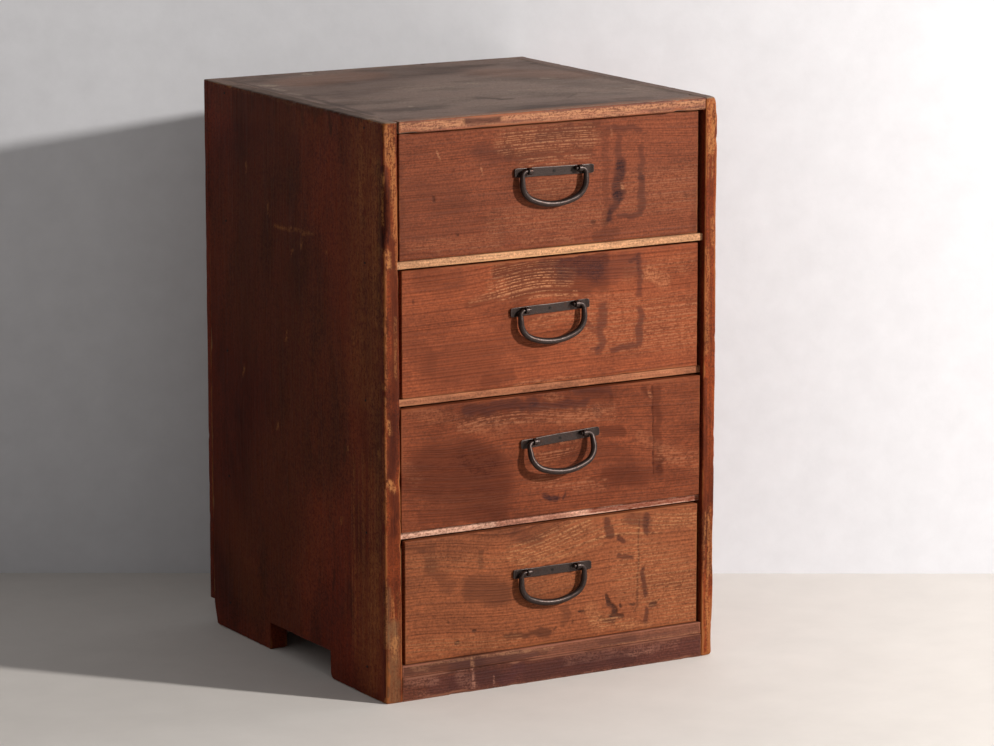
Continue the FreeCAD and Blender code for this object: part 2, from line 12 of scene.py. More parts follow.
import bpy
import numpy as np
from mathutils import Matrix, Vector


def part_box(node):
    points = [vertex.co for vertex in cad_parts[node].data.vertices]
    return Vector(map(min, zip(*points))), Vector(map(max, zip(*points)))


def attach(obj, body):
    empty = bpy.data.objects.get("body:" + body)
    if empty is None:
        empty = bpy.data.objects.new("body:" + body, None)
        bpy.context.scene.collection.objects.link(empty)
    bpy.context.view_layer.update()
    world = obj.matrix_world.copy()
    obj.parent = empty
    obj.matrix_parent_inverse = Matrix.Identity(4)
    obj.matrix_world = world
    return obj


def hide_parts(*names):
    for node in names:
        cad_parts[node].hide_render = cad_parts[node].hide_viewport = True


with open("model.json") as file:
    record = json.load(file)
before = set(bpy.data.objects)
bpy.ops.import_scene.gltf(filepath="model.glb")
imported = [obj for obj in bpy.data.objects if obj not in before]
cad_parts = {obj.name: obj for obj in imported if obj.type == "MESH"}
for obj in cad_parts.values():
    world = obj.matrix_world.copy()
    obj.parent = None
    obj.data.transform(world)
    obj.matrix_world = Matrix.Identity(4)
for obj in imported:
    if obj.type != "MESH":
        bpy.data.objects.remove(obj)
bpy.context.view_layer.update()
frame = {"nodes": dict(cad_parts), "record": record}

BODY_OF = {node: body for body, nodes in frame["record"]["behaviour"]["bodies"].items() for node in nodes}
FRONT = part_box("plinth")[0].y * 1000  # plane of the side boards' front edges
link = bpy.context.scene.collection.objects.link


# ---- smooth noise, the same on every run ----

def lattice(cells, seed):
    """A settled value from -1 to 1 for each whole-numbered cell, hashed from its numbers and the seed."""
    mixed = (cells[..., 0] * 374761393 + cells[..., 1] * 668265263
             + cells[..., 2] * 1103515245 + seed * 1442695041) & 0xFFFFFFFF
    mixed = ((mixed ^ (mixed >> 13)) * 1274126177) & 0xFFFFFFFF
    return ((mixed ^ (mixed >> 16)) & 0xFFFFFF) / 8388607.5 - 1


def swell(points, size, seed):
    """Smooth noise from -1 to 1: the lattice values at a cell's eight corners, blended by a smooth step.

    The size of a cell is one length, or one for each axis.
    """
    scaled = points / np.asarray(size, float) + 1000
    cell = np.floor(scaled).astype(np.int64)
    part = scaled - cell
    part = part * part * (3 - 2 * part)
    value = np.zeros(points.shape[:-1])
    for corner in np.ndindex(2, 2, 2):
        share = np.prod(np.where(corner, part, 1 - part), axis=-1)
        value += share * lattice(cell + np.array(corner), seed)
    return value


def ease(value, start, end):
    """A smooth step: 0 before start, 1 after end."""
    part = np.clip((value - start) / (end - start), 0, 1)
    return part * part * (3 - 2 * part)


# ---- worn boards ----

RIM = np.array([0, .2, .5, .9, 1.4, 2.1, 3, 4.2, 5.8, 7.6])


def stations(low, high, step, extra=()):
    """Grid stations along one axis: close together at both ends, where the arrises are, then a step apart."""
    rim = RIM[RIM < (high - low) / 2 - .1]
    count = max(2, int(round((high - low - 2 * rim[-1]) / step)) + 1)
    middle = np.linspace(low + rim[-1], high - rim[-1], count)
    return np.unique(np.round(np.concatenate([low + rim, middle, high - rim, extra]), 3))


def box_grid(axes):
    """The six faces of a box as grids on shared stations, wound outwards and welded where they meet."""
    blocks, quads, start = [], [], 0
    for axis in range(3):
        a, b = (axis + 1) % 3, (axis + 2) % 3
        across, up = np.meshgrid(axes[a], axes[b], indexing="ij")
        index = np.arange(across.size).reshape(across.shape)
        ring = np.stack([index[:-1, :-1], index[1:, :-1], index[1:, 1:], index[:-1, 1:]], -1).reshape(-1, 4)
        for end in (0, -1):
            block = np.empty(across.shape + (3,))
            block[..., a], block[..., b], block[..., axis] = across, up, axes[axis][end]
            blocks.append(block.reshape(-1, 3))
            quads.append((ring if end else ring[:, ::-1]) + start)
            start += index.size
    points = np.concatenate(blocks)
    _, first, same = np.unique(np.round(points * 1000).astype(np.int64), axis=0,
                               return_index=True, return_inverse=True)
    return points[first], same.reshape(-1)[np.concatenate(quads)]


def worn_board(low, high, step, arris=1.0, chips=1.0, relief=.12, seed=1, dents=(), extra=((), (), ())):
    """A worn board between two corners.

    Each point of the box keeps its direction from an inner box, which lies one arris radius inside, and is
    set that radius away from it. The radius swells and shrinks along the edges, grows at the peaks of a
    finer noise, which chips them, and at each dent: a centre, a reach on each axis and a depth. Away from
    the edges the faces sink by a slow noise. Returns points, quads and the distance to the worn arris.
    """
    low, high = np.array(low, float), np.array(high, float)
    points, quads = box_grid([stations(low[i], high[i], step[i], extra[i]) for i in range(3)])
    edge = np.sort(np.minimum(points - low, high - points), axis=1)[:, 1]
    radius = arris * (1 + .4 * swell(points, 34, seed) + .3 * swell(points, 9, seed + 1))
    radius += chips * 7 * np.clip(swell(points, 15, seed + 2) - .5, 0, 1)
    radius += chips * 2.2 * np.clip(swell(points, 5, seed + 3) - .45, 0, 1)
    for centre, reach, depth in dents:
        radius += depth * np.exp(-(((points - centre) / reach) ** 2).sum(1))
    radius = np.clip(radius, .25, .47 * (high - low).min())[:, None]
    inner = np.clip(points, low + radius, high - radius)
    out = points - inner
    out /= np.linalg.norm(out, axis=1, keepdims=True)
    sink = relief * (.5 + .5 * swell(points, 60, seed + 4)) * ease(edge, 0, 9)
    return inner + out * (radius - sink[:, None]), quads, edge - radius[:, 0]


def yearly_rings(points, along, across, depth, tilt=.4, slope=0., wander=.9, swells=(), seed=5):
    """How far each point lies across the tree's yearly rings, in mm.

    That is the place across the grain, plus the tilt times the depth and the slope times the place along
    the grain, less each swell (a place, its reach on both axes and its lift), plus a slow wander that is
    stretched along the grain.
    """
    value = points[:, across] + tilt * points[:, depth] + slope * points[:, along]
    for a, c, reach_a, reach_c, lift in swells:
        value = value - lift * np.exp(-((points[:, along] - a) / reach_a) ** 2
                                      - ((points[:, across] - c) / reach_c) ** 2)
    size = np.full(3, 26.)
    size[along] = 170
    finer = np.full(3, 9.)
    finer[along] = 60
    return value + wander * swell(points, size, seed) + .35 * wander * swell(points, finer, seed + 1)


KINDS = ("soil_and_shade", "ink", "scrape", "ridges")  # of marks: soil (some of it painted shade), purple smears, pale scrapes, rubbed ring tips


def marks(points, a, b, rows, seed, ragged=1., origin=(0, 0)):
    """How strongly the listed marks cover each point, from 0 to 1.

    Each row of the text is a stroke: two ends in the plane of axes a and b, measured from the origin, a half
    width and a strength. It covers what lies within its half width of the line between its ends, fading
    from the middle out, on a plane whose points a noise has shifted, so its outline is ragged.
    """
    shift = ragged * np.stack([2.2 * swell(points, 11, seed) + .9 * swell(points, 4, seed + 1),
                               2.2 * swell(points, 11, seed + 2) + .9 * swell(points, 4, seed + 3)], -1)
    place = points[:, [a, b]]
    bare = np.ones(len(points))
    for row in rows.split(";"):
        a0, b0, a1, b1, half_width, strength = map(float, row.split())
        start, run = np.array([a0, b0]) + origin, np.array([a1 - a0, b1 - b0])
        moved = place + shift * min(1, half_width / 5)
        part = np.clip((moved - start) @ run / max(run @ run, 1e-9), 0, 1)
        away = np.linalg.norm(moved - start - part[:, None] * run, axis=1)
        bare *= 1 - strength * (1 - ease(away, .5 * half_width, 1.2 * half_width))
    return 1 - bare


# ---- meshes ----

FIELDS = ("ring", "arris") + KINDS


def piece(name, shells, material, replaced, sharp=38, others=()):
    """One mesh from shells of points (mm), quads and fields, in place of CAD nodes, riding on their body.

    Each other material goes on the faces whose middles (mm) its rule picks.
    """
    points = np.concatenate([shell[0] for shell in shells])
    starts = np.cumsum([0] + [len(shell[0]) for shell in shells[:-1]])
    quads = np.concatenate([shell[1] + start for shell, start in zip(shells, starts)])
    mesh = bpy.data.meshes.new(name)
    mesh.vertices.add(len(points))
    mesh.vertices.foreach_set("co", (points / 1000).astype(np.float32).ravel())
    mesh.loops.add(quads.size)
    mesh.loops.foreach_set("vertex_index", quads.astype(np.int32).ravel())
    mesh.polygons.add(len(quads))
    mesh.polygons.foreach_set("loop_start", np.arange(0, quads.size, 4, dtype=np.int32))
    for field in FIELDS:
        values = np.concatenate([np.broadcast_to(shell[2].get(field, 0.), len(shell[0])) for shell in shells])
        mesh.attributes.new(field, "FLOAT", "POINT").data.foreach_set("value", values.astype(np.float32))
    mesh.update(calc_edges=True)
    mesh.validate()
    mesh.shade_smooth()
    mesh.set_sharp_from_angle(angle=math.radians(sharp))
    made = bpy.data.objects.new(name, mesh)
    link(made)
    made.data.materials.append(material)
    if others:
        middles = np.empty(3 * len(mesh.polygons), np.float32)
        mesh.polygons.foreach_get("center", middles)
        x, y, z = middles.reshape(-1, 3).T * 1000.
        picked = np.zeros(len(mesh.polygons), np.int32)
        for number, (other, rule) in enumerate(others, start=1):
            made.data.materials.append(other)
            picked[rule(x, y, z)] = number
        mesh.polygons.foreach_set("material_index", picked)
    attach(made, BODY_OF[replaced[0]])
    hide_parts(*replaced)
    return made


def corners(node):
    """Lowest and highest corner of a CAD node, in mm."""
    low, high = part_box(node)
    return np.array(low) * 1000, np.array(high) * 1000


# ---- materials ----

MIX = dict(out=2, data_type="RGBA")  # settings of a colour mix, and of a smooth step
SMOOTH = dict(interpolation_type="SMOOTHSTEP")
# Near black, for the shade painted round the nail at each strap's middle.
NAIL_SHADE = "0E0C0B"


def hue(code):
    """A linear colour, with full alpha, from an sRGB hex code."""
    parts = [int(code[i:i + 2], 16) / 255 for i in (0, 2, 4)]
    return tuple(c / 12.92 if c <= .04045 else ((c + .055) / 1.055) ** 2.4 for c in parts) + (1.,)


def add_node(tree, kind, inputs=(), out=0, **settings):
    """Adds a node, sets its properties, gives each input a value or a link, and returns an output.

    The inputs come by name, or in their order; a map range's are its value, the range that it is in and the
    range that it goes to.
    """
    made = tree.nodes.new(f"ShaderNode{kind}")
    for name, value in settings.items():
        setattr(made, name, value)
    for name, value in inputs.items() if isinstance(inputs, dict) else enumerate(inputs):
        if isinstance(value, bpy.types.NodeSocket):
            tree.links.new(value, made.inputs[name])
        else:
            made.inputs[name].default_value = value
    return made.outputs[out] if made.outputs else None


def new_material(name):
    """An empty node material, and the function that adds nodes to it."""
    material = bpy.data.materials.new(name)
    material.use_nodes = True
    material.node_tree.nodes.clear()
    return material, partial(add_node, material.node_tree)


def stained_softwood(name, tints, along, spacing=3., lines=.75, mottling=.3, fibres=.3, specks=.12,
                     rough=(.55, .75), wear=(.4, -.9), uneven=7., relief=.4):
    """Planed softwood under a thin old stain, rubbed, soiled and worn through at the arrises.

    The soft early wood has worn lower than the hard late wood, so the yearly rings stand as fine lines that
    hold more stain, or are rubbed pale at their tips where hands have been. The tints are those of the early
    wood, late wood, soil and painted shade, smears, worn arrises and ring tips. Ring spacing, the wear's reach
    from the arris and its unevenness are in mm.
    """
    early, late, dark_tint, inked, worn, tips = map(hue, tints.split())
    material, add = new_material(name)
    place = add("TexCoord", out="Object")
    ring, arris, *kinds = (add("Attribute", attribute_name=field, out="Fac") for field in FIELDS)
    noises = []
    # Lengthwise and crosswise scale per metre: fibre streaks 45 mm long and 2 mm wide, pores 9 mm by 1.3 mm,
    # and stain that took unevenly over patches 110 mm by 45 mm.
    for lengthwise, crosswise in ((22., 500.), (110., 760.), (9., 22.)):
        scale = [crosswise] * 3
        scale[along] = lengthwise
        noises.append(add("TexNoise", {"Vector": add("Mapping", {"Vector": place, "Scale": scale}),
                                       "Scale": 1., "Detail": 4., "Roughness": .62}))
    streaks, pores, patches = noises
    specked = add("TexNoise", {"Vector": place, "Scale": 400., "Detail": 5., "Roughness": .7})

    # Ring lines: the colour builds up through each year and breaks off at its end; years differ in width.
    drift = add("TexNoise", {"W": add("Math", (ring, .085), operation="MULTIPLY"), "Scale": 1., "Detail": 1.},
                noise_dimensions="1D")
    year = add("Math", (add("Math", (ring, 1 / spacing), operation="MULTIPLY"),
                        add("Math", (drift, 2.), operation="MULTIPLY")), operation="ADD")
    saw = add("Math", (year,), operation="FRACT")
    rise = add("MapRange", (saw, .3, .7), **SMOOTH)
    fall = add("MapRange", (saw, .86, 1., 1., 0.), **SMOOTH)
    tone = add("TexNoise", {"W": add("Math", (ring, .22), operation="MULTIPLY"), "Scale": 1., "Detail": 2.},
               noise_dimensions="1D")
    tone = add("MapRange", (tone, .36, .62, .3))
    edge = add("Math", (rise, fall), operation="MULTIPLY")
    line = add("Math", (edge, tone), operation="MULTIPLY")
    broken = add("MapRange", (streaks, .38, .58, .35), **SMOOTH)
    shade = add("Math", (add("Math", (line, broken), operation="MULTIPLY"), lines), operation="MULTIPLY")
    colour = add("Mix", {0: shade, 6: early, 7: late}, **MIX)

    # Uneven stain in long patches, streaks of fibre, specks, and dark pores.
    patch = add("MapRange", (patches, .44, .72, 0., mottling), **SMOOTH)
    colour = add("Mix", {0: patch, 6: colour, 7: dark_tint}, **MIX)
    both = add("Math", (streaks, pores), operation="ADD")
    grains = [add("MapRange", (value, start, end, 1 - spread, 1 + spread))
              for value, start, end, spread in ((both, .7, 1.3, fibres), (specked, .36, .64, specks))]
    colour = add("HueSaturation", {"Color": colour, "Value": add("Math", grains, operation="MULTIPLY")})
    pore = add("MapRange", (pores, .6, .7, 0., .45), **SMOOTH)
    colour = add("Mix", {0: pore, 6: colour, 7: dark_tint}, **MIX)

    # Marks that follow this board: soil (some of it painted shade) and smears cover it unevenly, scrapes and
    # rubbed ring tips in dashes.
    grain = add("Math", (pores, specked), operation="ADD")
    held = add("MapRange", (grain, .8, 1.15, .5, 1.2))
    dashes = add("MapRange", (grain, .88, 1.12, .08), **SMOOTH)
    rubbed = add("Math", (dashes, edge), operation="MULTIPLY")
    soil_and_shade, ink, scrape, ridges = kinds
    for kind, hold, tint in ((soil_and_shade, held, dark_tint), (ridges, rubbed, tips), (ink, held, inked),
                             (scrape, dashes, tips)):
        cover = add("Math", (kind, hold), operation="MULTIPLY", use_clamp=True)
        colour = add("Mix", {0: cover, 6: colour, 7: tint}, **MIX)

    # Arrises rubbed back to bare wood, further in some places than in others.
    for noise, reach in ((patches, 2 * uneven), (specked, uneven / 2)):
        arris = add("Math", (add("Math", (noise, .5), operation="SUBTRACT"), reach, arris),
                    operation="MULTIPLY_ADD")
    bared = add("MapRange", (arris, wear[0], wear[1]), **SMOOTH)
    colour = add("Mix", {0: bared, 6: colour, 7: worn}, **MIX)

    height = add("Math", (streaks, .5, line), operation="MULTIPLY_ADD")
    height = add("Math", (pores, -.5, height), operation="MULTIPLY_ADD")
    normal = add("Bump", {"Height": height, "Strength": relief, "Distance": .0006})
    gloss = add("MapRange", (streaks, .3, .7, rough[0], rough[1]))
    add("OutputMaterial", {"Surface": add("BsdfPrincipled", {
        "Base Color": colour, "Roughness": gloss, "Specular IOR Level": .12, "Normal": normal})})
    return material


def forged_iron(name, tints, rough=(.28, .48)):
    """Iron forged by hand and blackened: a dark oxide skin with a soft sheen, a little rust in its hollows,
    painted shade round the nail at a strap's middle, near black, and bare metal where the arrises have rubbed."""
    skin, rust, bright = map(hue, tints.split())
    material, add = new_material(name)
    place = add("TexCoord", out="Object")
    blows = add("TexNoise", {"Vector": place, "Scale": 190., "Detail": 2., "Roughness": .5})
    pores = add("TexNoise", {"Vector": place, "Scale": 1100., "Detail": 3., "Roughness": .6})
    arris, nail_shade = (add("Attribute", attribute_name=field, out="Fac") for field in ("arris", "soil_and_shade"))
    rusty = add("MapRange", (blows, .56, .72, 0., .5), **SMOOTH)
    colour = add("Mix", {0: rusty, 6: skin, 7: rust}, **MIX)
    shade = add("MapRange", (pores, .3, .7, .7, 1.3))
    colour = add("HueSaturation", {"Color": colour, "Value": shade})
    # Painted shade round the nail at a strap's middle.
    colour = add("Mix", {0: nail_shade, 6: colour, 7: hue(NAIL_SHADE)}, **MIX)
    worn = add("Math", (add("Math", (pores, .5), operation="SUBTRACT"), 1.2, arris), operation="MULTIPLY_ADD")
    rub = add("MapRange", (worn, .12, -.25, 0., .5), **SMOOTH)
    colour = add("Mix", {0: rub, 6: colour, 7: bright}, **MIX)
    height = add("Math", (pores, .35, blows), operation="MULTIPLY_ADD")
    normal = add("Bump", {"Height": height, "Strength": .4, "Distance": .0006})
    gloss = add("MapRange", (pores, .3, .7, rough[0], rough[1]))
    add("OutputMaterial", {"Surface": add("BsdfPrincipled", {
        "Base Color": colour, "Metallic": .75, "Roughness": gloss, "Normal": normal})})
    return material


# ---- the boards ----

CHEST_HEIGHT = 600

# Each drawer front: the place in X and Z that its marks are measured from, how far its left end has drawn
# back, its ring figure (the slope, and swells in X and Z) and its stain.
FRONTS = {
    1: dict(origin=(-185, 455), shrunk=.5, slope=0, swells=((-3, 561, 90, 30, 3.5), (187, 553, 70, 25, -6)),
            stain=dict(tints="783F28 4E2012 3A190E 2A1414 7B472C A06C4C", spacing=3., lines=.55, mottling=.35,
                       specks=.26)),
    2: dict(origin=(-185.5, 310.5), shrunk=0, slope=-.01,
            swells=((-15.5, 425.5, 58, 34, 10), (16.5, 386.5, 40, 20, 4)),
            stain=dict(tints="874529 5B2814 451C0D 3A1B18 844B2E AE7450", spacing=3.3, mottling=.35,
                       specks=.22)),
    3: dict(origin=(-185, 180.5), shrunk=-.8, slope=.02,
            swells=((-46, 288.5, 75, 40, 15), (69, 245.5, 60, 34, 9), (-181, 240.5, 50, 50, 9)),
            stain=dict(tints="773C23 49200E 401606 3A1C18 7B4227 9E6445", spacing=3.1, lines=.6, mottling=.5,
                       specks=.24)),
    4: dict(origin=(-185.5, 40.5), shrunk=2., slope=0,
            swells=((-51.5, 135.5, 62, 52, -13), (76.5, 168.5, 62, 30, 13), (-176.5, 60.5, 90, 40, 9)),
            stain=dict(tints="884C2E 522715 3F2115 3E1D16 864F2F AE7850", spacing=3.7, mottling=.4, specks=.28)),
}

# Marks on the drawer fronts: rows of both ends in X and Z, from the front's own place, half width and strength.
FRONT_MARKS = {
    1: dict(
        soil_and_shade="""137 117 237 117 12 .32; 137 100 230 99 6 .4; 252 20 250 120 5 .3; 48 61 48 65 1.8 .8;
        75 24 76 24 1.7 .8; 236 23 239 23 2.2 .8; 350 41 352 41 3 .5; 254 22 255 33 3.2 .6;
        237 7 266 13 5 .35; 22 28 112 32 10 .2; 22 66 72 61 22 .22; 222 121 242 126 5 .3; 7 106 10 16 5 .3;
        122 46 130 16 5 .2; 362 46 362 6 6 .3""",
        ink="""104 108 130 102 11 .26; 268 108 268 81 5.5 .44; 269 81 267 51 7.5 .74; 266 51 257 27 5.5 .7;
        294 98 296 61 4.5 .44; 296 61 295 32 6.5 .54; 270 27 294 26 3.2 .52; 258 118 294 117 4 .44;
        172 117 212 120 7 .26""",
        scrape="""52 112 56 102 1 .9; 104 90 105 83 1 .8; 272 61 272 58 2.4 .7; 152 9 212 10 3 .25;
        258 121 259 111 1 .5; 246 32 246 84 .6 .5""",
        ridges="""134 114 230 114 15 .9; 152 91 232 92 5 .7; 282 51 360 51 28 .35; 122 33 242 29 16 .35;
        167 61 217 66 14 .4; 22 16 122 14 8 .3"""),
    2: dict(
        soil_and_shade="""127.5 125.5 245.5 127.5 12 .75; 145.5 107.5 245.5 105.5 14 .6; 32 124 77 122 12 .26;
        57 34 107 38 27 .32; 87 95 127 103 6 .45; 107 14 137 18 8 .4; 12 71 42 41 14 .25;
        132 63 162 36 14 .25; 24 103 24 105 1.6 .7; 162 132 192 128 5 .3""",
        ink="""204 124 237 121 14 .62; 242 115 286 121 16 .47; 248 78 247 33 5.6 .58; 236 36 244 36 2.2 .52;
        294 128 295 88 4.6 .58; 281 125 293 128 3.2 .52; 294 69 294 37 4.6 .62; 260 32 290 33 3.2 .58;
        224 62 239 55 4.5 .36; 174 129 207 111 8 .31""",
        scrape="306 109 325 100 8 .45; 232 89 233 76 1.2 .5; 142 7 222 8 2 .35",
        ridges="""124 109 202 115 13 1; 167 98 214 95 5 .7; 120 127 190 132 6 .55; 92 98 122 101 4 .5;
        242 61 360 51 34 .5; 167 69 217 75 8 .5; 282 111 352 116 12 .35"""),
    3: dict(
        soil_and_shade="""85 109.5 255 109.5 14 .3; 44 56 109 36 38 .62; 86 70 106 60 20 .5; 249 78 270 77 6 .55;
        259 112 259 108 4 .5; 305 61 310 59 3.2 .7; 256 28 299 23 13 .4; 308.5 120 310 25 1 .8;
        314 118 315 28 5.2 .5; 315 36 315 27 6.5 .6; 301 117 306 110 4.5 .6; 34 10 124 4 10 .35;
        244 60 279 45 12 .3; 334 110 362 105 9 .25; 224 120 244 119 6 .35; 192 10 193 16 .8 .7""",
        ink="""84 116 164 118 6.5 .62; 162 112 226 107 6 .62; 181 13 190 11 4.6 .91; 199 11 202 17 1.8 .95;
        240 100 244 96 5 .39; 214 123 254 120 5 .45""",
        scrape="""94 99 244 97 6 .18; 196 92 260 103 8 .2; 178 123 196 118 4 .3; 305 112 307 107 3 .6;
        16 123 124 92 9 .22; 294 65 334 42 8 .22""",
        ridges="""80 99 144 104 7 .6; 144 104 256 95 9 .5; 164 32 246 19 7 .55; 324 44 364 30 13 .5;
        168 56 212 67 9 .6; 8 70 24 50 8 .25; 24 26 124 18 9 .12"""),
    4: dict(
        soil_and_shade="""41 117 39.5 97.5 9 .32; 40 100 63 73 9 .34; 90.5 67.5 127.5 56.5 15 .55; 102 106 102 90 3 .5;
        129 13 184 10 5 .7; 202 31 204 16 6 .42; 293.5 117 292 24 .9 .8; 292 24 288 18 1 .7;
        253 40 256 32 2.6 1; 256 32 264 21 4.2 1; 260 17 274 17 3 1; 253 15 264 12 3.4 .75;
        270 29 271 26 1.6 .95; 283 27 287 26 1.8 .95; 311 23 315 23 4 1; 220 27 226 27 1.6 .9;
        318 27 321 28 1.1 .8; 11 24 13 24 2.2 .9; 92 24 94 24 2.2 .95; 72 12 76 12 1.8 .9;
        63 36 64 36 1.3 .8; 190 12 193 14 1.2 .8; 212 15 213 18 1 .8; 245 14 248 18 1.3 .8;
        12 120 34 118 4 .4; 154 115 194 120 7 .3""",
        ink="""253 121 256 106 5 .7; 268 101 273 94 4 .82; 268 81 284 78 2.8 .7; 282 120 305 112 8 .5;
        305 120 302 103 4 .7; 299 62 303 34 3.4 .77; 303 20 301 6 2.6 .7; 144 119 169 110 9 .35""",
        scrape="234 30 244 10 9 .25; 274 5 309 4 3 .35; 144 88 224 89 3 .25",
        ridges="""139 98 226 120 11 .75; 154 90 246 103 8 .55; 244 110 360 110 11 .65; 14 16 144 6 9 .4;
        14 103 124 93 9 .25; 242 14 284 7 8 .6; 294 64 364 22 40 .55; 154 60 224 63 12 .25"""),
}

LIP = 7.5  # a front's thickness where it laps over the box
REBATE, FOOT_REBATE = 8, 6  # how far the block behind it stands in at both ends, and from below


def front_board(number):
    """A drawer front: a face board with a thinner block behind it, which leaves the rebates for the box."""
    node, front = f"drawer_{number}_front", FRONTS[number]
    low, high = corners(node)
    low[0] += front["shrunk"]
    lip = low[1] + LIP
    points, quads, arris = worn_board(low, (high[0], lip, high[2]), (1.25, 3, 1.25), arris=.9, chips=.5,
                                      relief=.18, seed=100 + number)
    face = ease(points[:, 1], low[1] + 3, low[1] + .5)
    fields = {kind: face * marks(points, 0, 2, FRONT_MARKS[number][kind], 20 * number + k, 1.7, front["origin"])
              for k, kind in enumerate(KINDS)}
    pits = face * np.clip(fields["soil_and_shade"] - .7, 0, .3) * 2
    points[:, 1] += pits * ease(arris, .5, 2)
    fields.update(arris=arris, ring=yearly_rings(points, 0, 2, 1, slope=front["slope"],
                                                 swells=front["swells"], seed=200 + number))
    shells = [(points, quads, fields)]
    points, quads, arris = worn_board((low[0] + REBATE, lip - .5, low[2] + FOOT_REBATE),
                                      (high[0] - REBATE, high[1], high[2]), (8, 4, 8), arris=.5, chips=.1,
                                      seed=110 + number)
    shells.append((points, quads, dict(arris=arris + 3, ring=yearly_rings(points, 0, 2, 1))))
    stain = stained_softwood(f"stained_cypress_planed_{number}", along=0, **front["stain"])
    made = piece(f"drawer_{number}_face", shells, stain, (node,))


# The line of a side board's lower edge: distance from the front edge, and height.
FOOT_LINE = ((0, 0), (114.5, 0), (117.2, .8), (118.8, 2.6), (119.5, 5.5), (120, 28.4), (120.8, 29),
             (255.8, 29), (256.5, 28.4), (257, 1.2), (258.5, 0), (383, 0), (391, 26.5))
FOOT_STATIONS = (119.7, 119.9, 256.1, 256.3, 256.7, 256.9, 385, 387, 389)  # more stations at its turns

# Where the left plank's upper outer arris has splintered away: place in Y, reach, depth.
SPLINTERS = ((-178, 4, 2.4), (-163, 3.5, 3.4), (-146, 5, 2.2), (-131, 3, 3.2), (-112, 6, 2.6), (-97, 3, 3.8),
             (-84, 4, 2.8), (-66, 6, 3.6), (-48, 3.5, 2.), (-30, 7, 3.4), (-12, 3, 2.8), (6, 8, 3.2),
             (30, 4, 1.8), (52, 9, 3.4), (76, 4, 2.2), (98, 3.5, 3.2), (118, 4, 2.4), (146, 5, 2.6),
             (176, 6, 2.2))
PLANK = 14.5  # thickness of a side board
THICKER_TOP, THICKER_FOOT = 1.1, 4.2  # what the left one gains at its top, and more towards its foot

# Marks on the side boards' front edges: both ends in X and Z in the chest, half width and strength.
EDGE_MARKS = {
    -1: dict(
        soil_and_shade="""-199 554 -198 530 4 .9; -197 530 -196 484 7.5 .95; -199 540 -199 474 5 .9;
        -189 478 -189 455 4 .7; -187 450 -186 320 5.5 .66; -190 300 -190 240 5.5 .6;
        -188 218 -188 180 5.5 .8; -191 176 -190 150 6 .4; -187 125 -186 100 4 .4; -197 130 -198 10 2.5 .5;
        -184 24 -183 12 3 .5""",
        ink="-191 80 -190 0 9 .6; -195 120 -196 60 3 .4",
        scrape="""-195 598 -191 560 6 .6; -198.6 548 -198.2 496 1.1 .8; -188 556 -186 484 3 .55;
        -195 469 -194 455 4 .8; -197.5 450 -197.5 330 1.8 .5; -198 320 -198 190 1.2 .5;
        -198 180 -198 60 1.3 .4; -195 294 -194 284 2.5 .8; -193 232 -189 224 4.5 .8; -189 67 -188 52 5 .5;
        -186 400 -186 340 2 .4""",
        ridges="-190 600 -190 450 8 .4; -190 110 -190 50 8 .5"),
    1: dict(
        soil_and_shade="""190 560 192 500 5 .4; 190 500 192 330 5 .2; 187 300 188 120 3 .45; 194 210 196 170 5 .4;
        194 585 197 560 3 .6""",
        ink="196 24 197 0 3 .4",
        scrape="""192 600 191 545 6 .6; 193 160 195 90 4 .3; 196 60 195 4 4 .45; 188 440 188 330 3 .4;
        194 470 194 445 3 .5""",
        ridges="192 600 192 520 8 .4; 192 150 192 0 8 .5"),
}

# Marks on their broad faces, in Y and Z. The soil row along Z 596 to 599 paints the shade under the left
# plank's splintered upper arris, with the short strokes hanging from it as dark splinters; the right plank
# carries the same row upside down, along its foot.
SIDE_MARKS = dict(
    soil_and_shade="""60 560 60 160 95 .6; -30 420 -60 250 60 .42; 150 500 160 100 60 .4; -160 420 -165 260 25 .3;
        20 60 100 50 40 .4; 150 60 190 60 40 .4; 140 599 138 586 3 .8; 118 599 117 590 3 .8;
        96 599 92 584 3.5 .85; 70 599 68 588 4 .8; 44 599 40 583 4 .85; 14 599 12 589 4 .85;
        -18 599 -20 580 4 .9; -48 599 -50 588 4 .85; -76 599 -80 578 3.5 .9; -104 599 -108 588 3 .85;
        -136 599 -138 590 3 .8; -150 599 110 599 3 .85; -150 500 -151 488 3.5 .5; -118 112 -120 78 4.5 .6;
        -186 556 -187 470 7 .95; -60 596 60 597 4.5 .8; -180 300 -178 150 9 .5; -182 470 -183 380 5 .5;
        -107 262 -107 238 2.2 .8; -181 268 -181 244 2.4 .85; -80 118 -80 98 3 .7; -92 300 -93 292 1.6 .7;
        20 200 20 180 1.6 .6; -130 342 -130 330 1.5 .6; -60 162 -60 140 1.5 .6; 90 330 90 300 2 .5""",
    ink="""-150 590 -140 340 60 .28; -60 585 170 585 22 .4; -150 330 -155 160 36 .18;
        -160 130 -165 20 32 .35; 170 130 120 60 40 .35""",
    scrape="""-80 520 90 420 130 .12; -70 300 60 90 110 .14; -160 570 -152 340 40 .24;
        -172 320 -168 20 16 .22; -140 120 -150 20 26 .18; -176 560 -174 400 9 .3; -40 466 45 463 2 .7;
        -180 262 -180 258 3 .8; -114 255 -114 253 2.5 .9; 21 352 21 347 3 .9; -150 570 -145 500 7 .3;
        -170 150 -168 80 10 .3; -60 598 190 598 2.2 .2; -16 456 -12 448 1.8 .9; 6 444 8 438 1.6 .9;
        62 486 58 472 1.8 .8; -70 452 -68 446 1.6 .9; 110 520 108 512 1.6 .8; -130 380 -131 366 1.8 .7;
        -100 180 -98 172 1.8 .8; 40 250 44 246 1.6 .8; -176 470 -177 440 2 .5; -140 545 -143 520 2.5 .5;
        120 300 122 290 1.6 .8""",
    ridges="-165 580 -160 380 46 .3; -150 220 -145 70 40 .45")

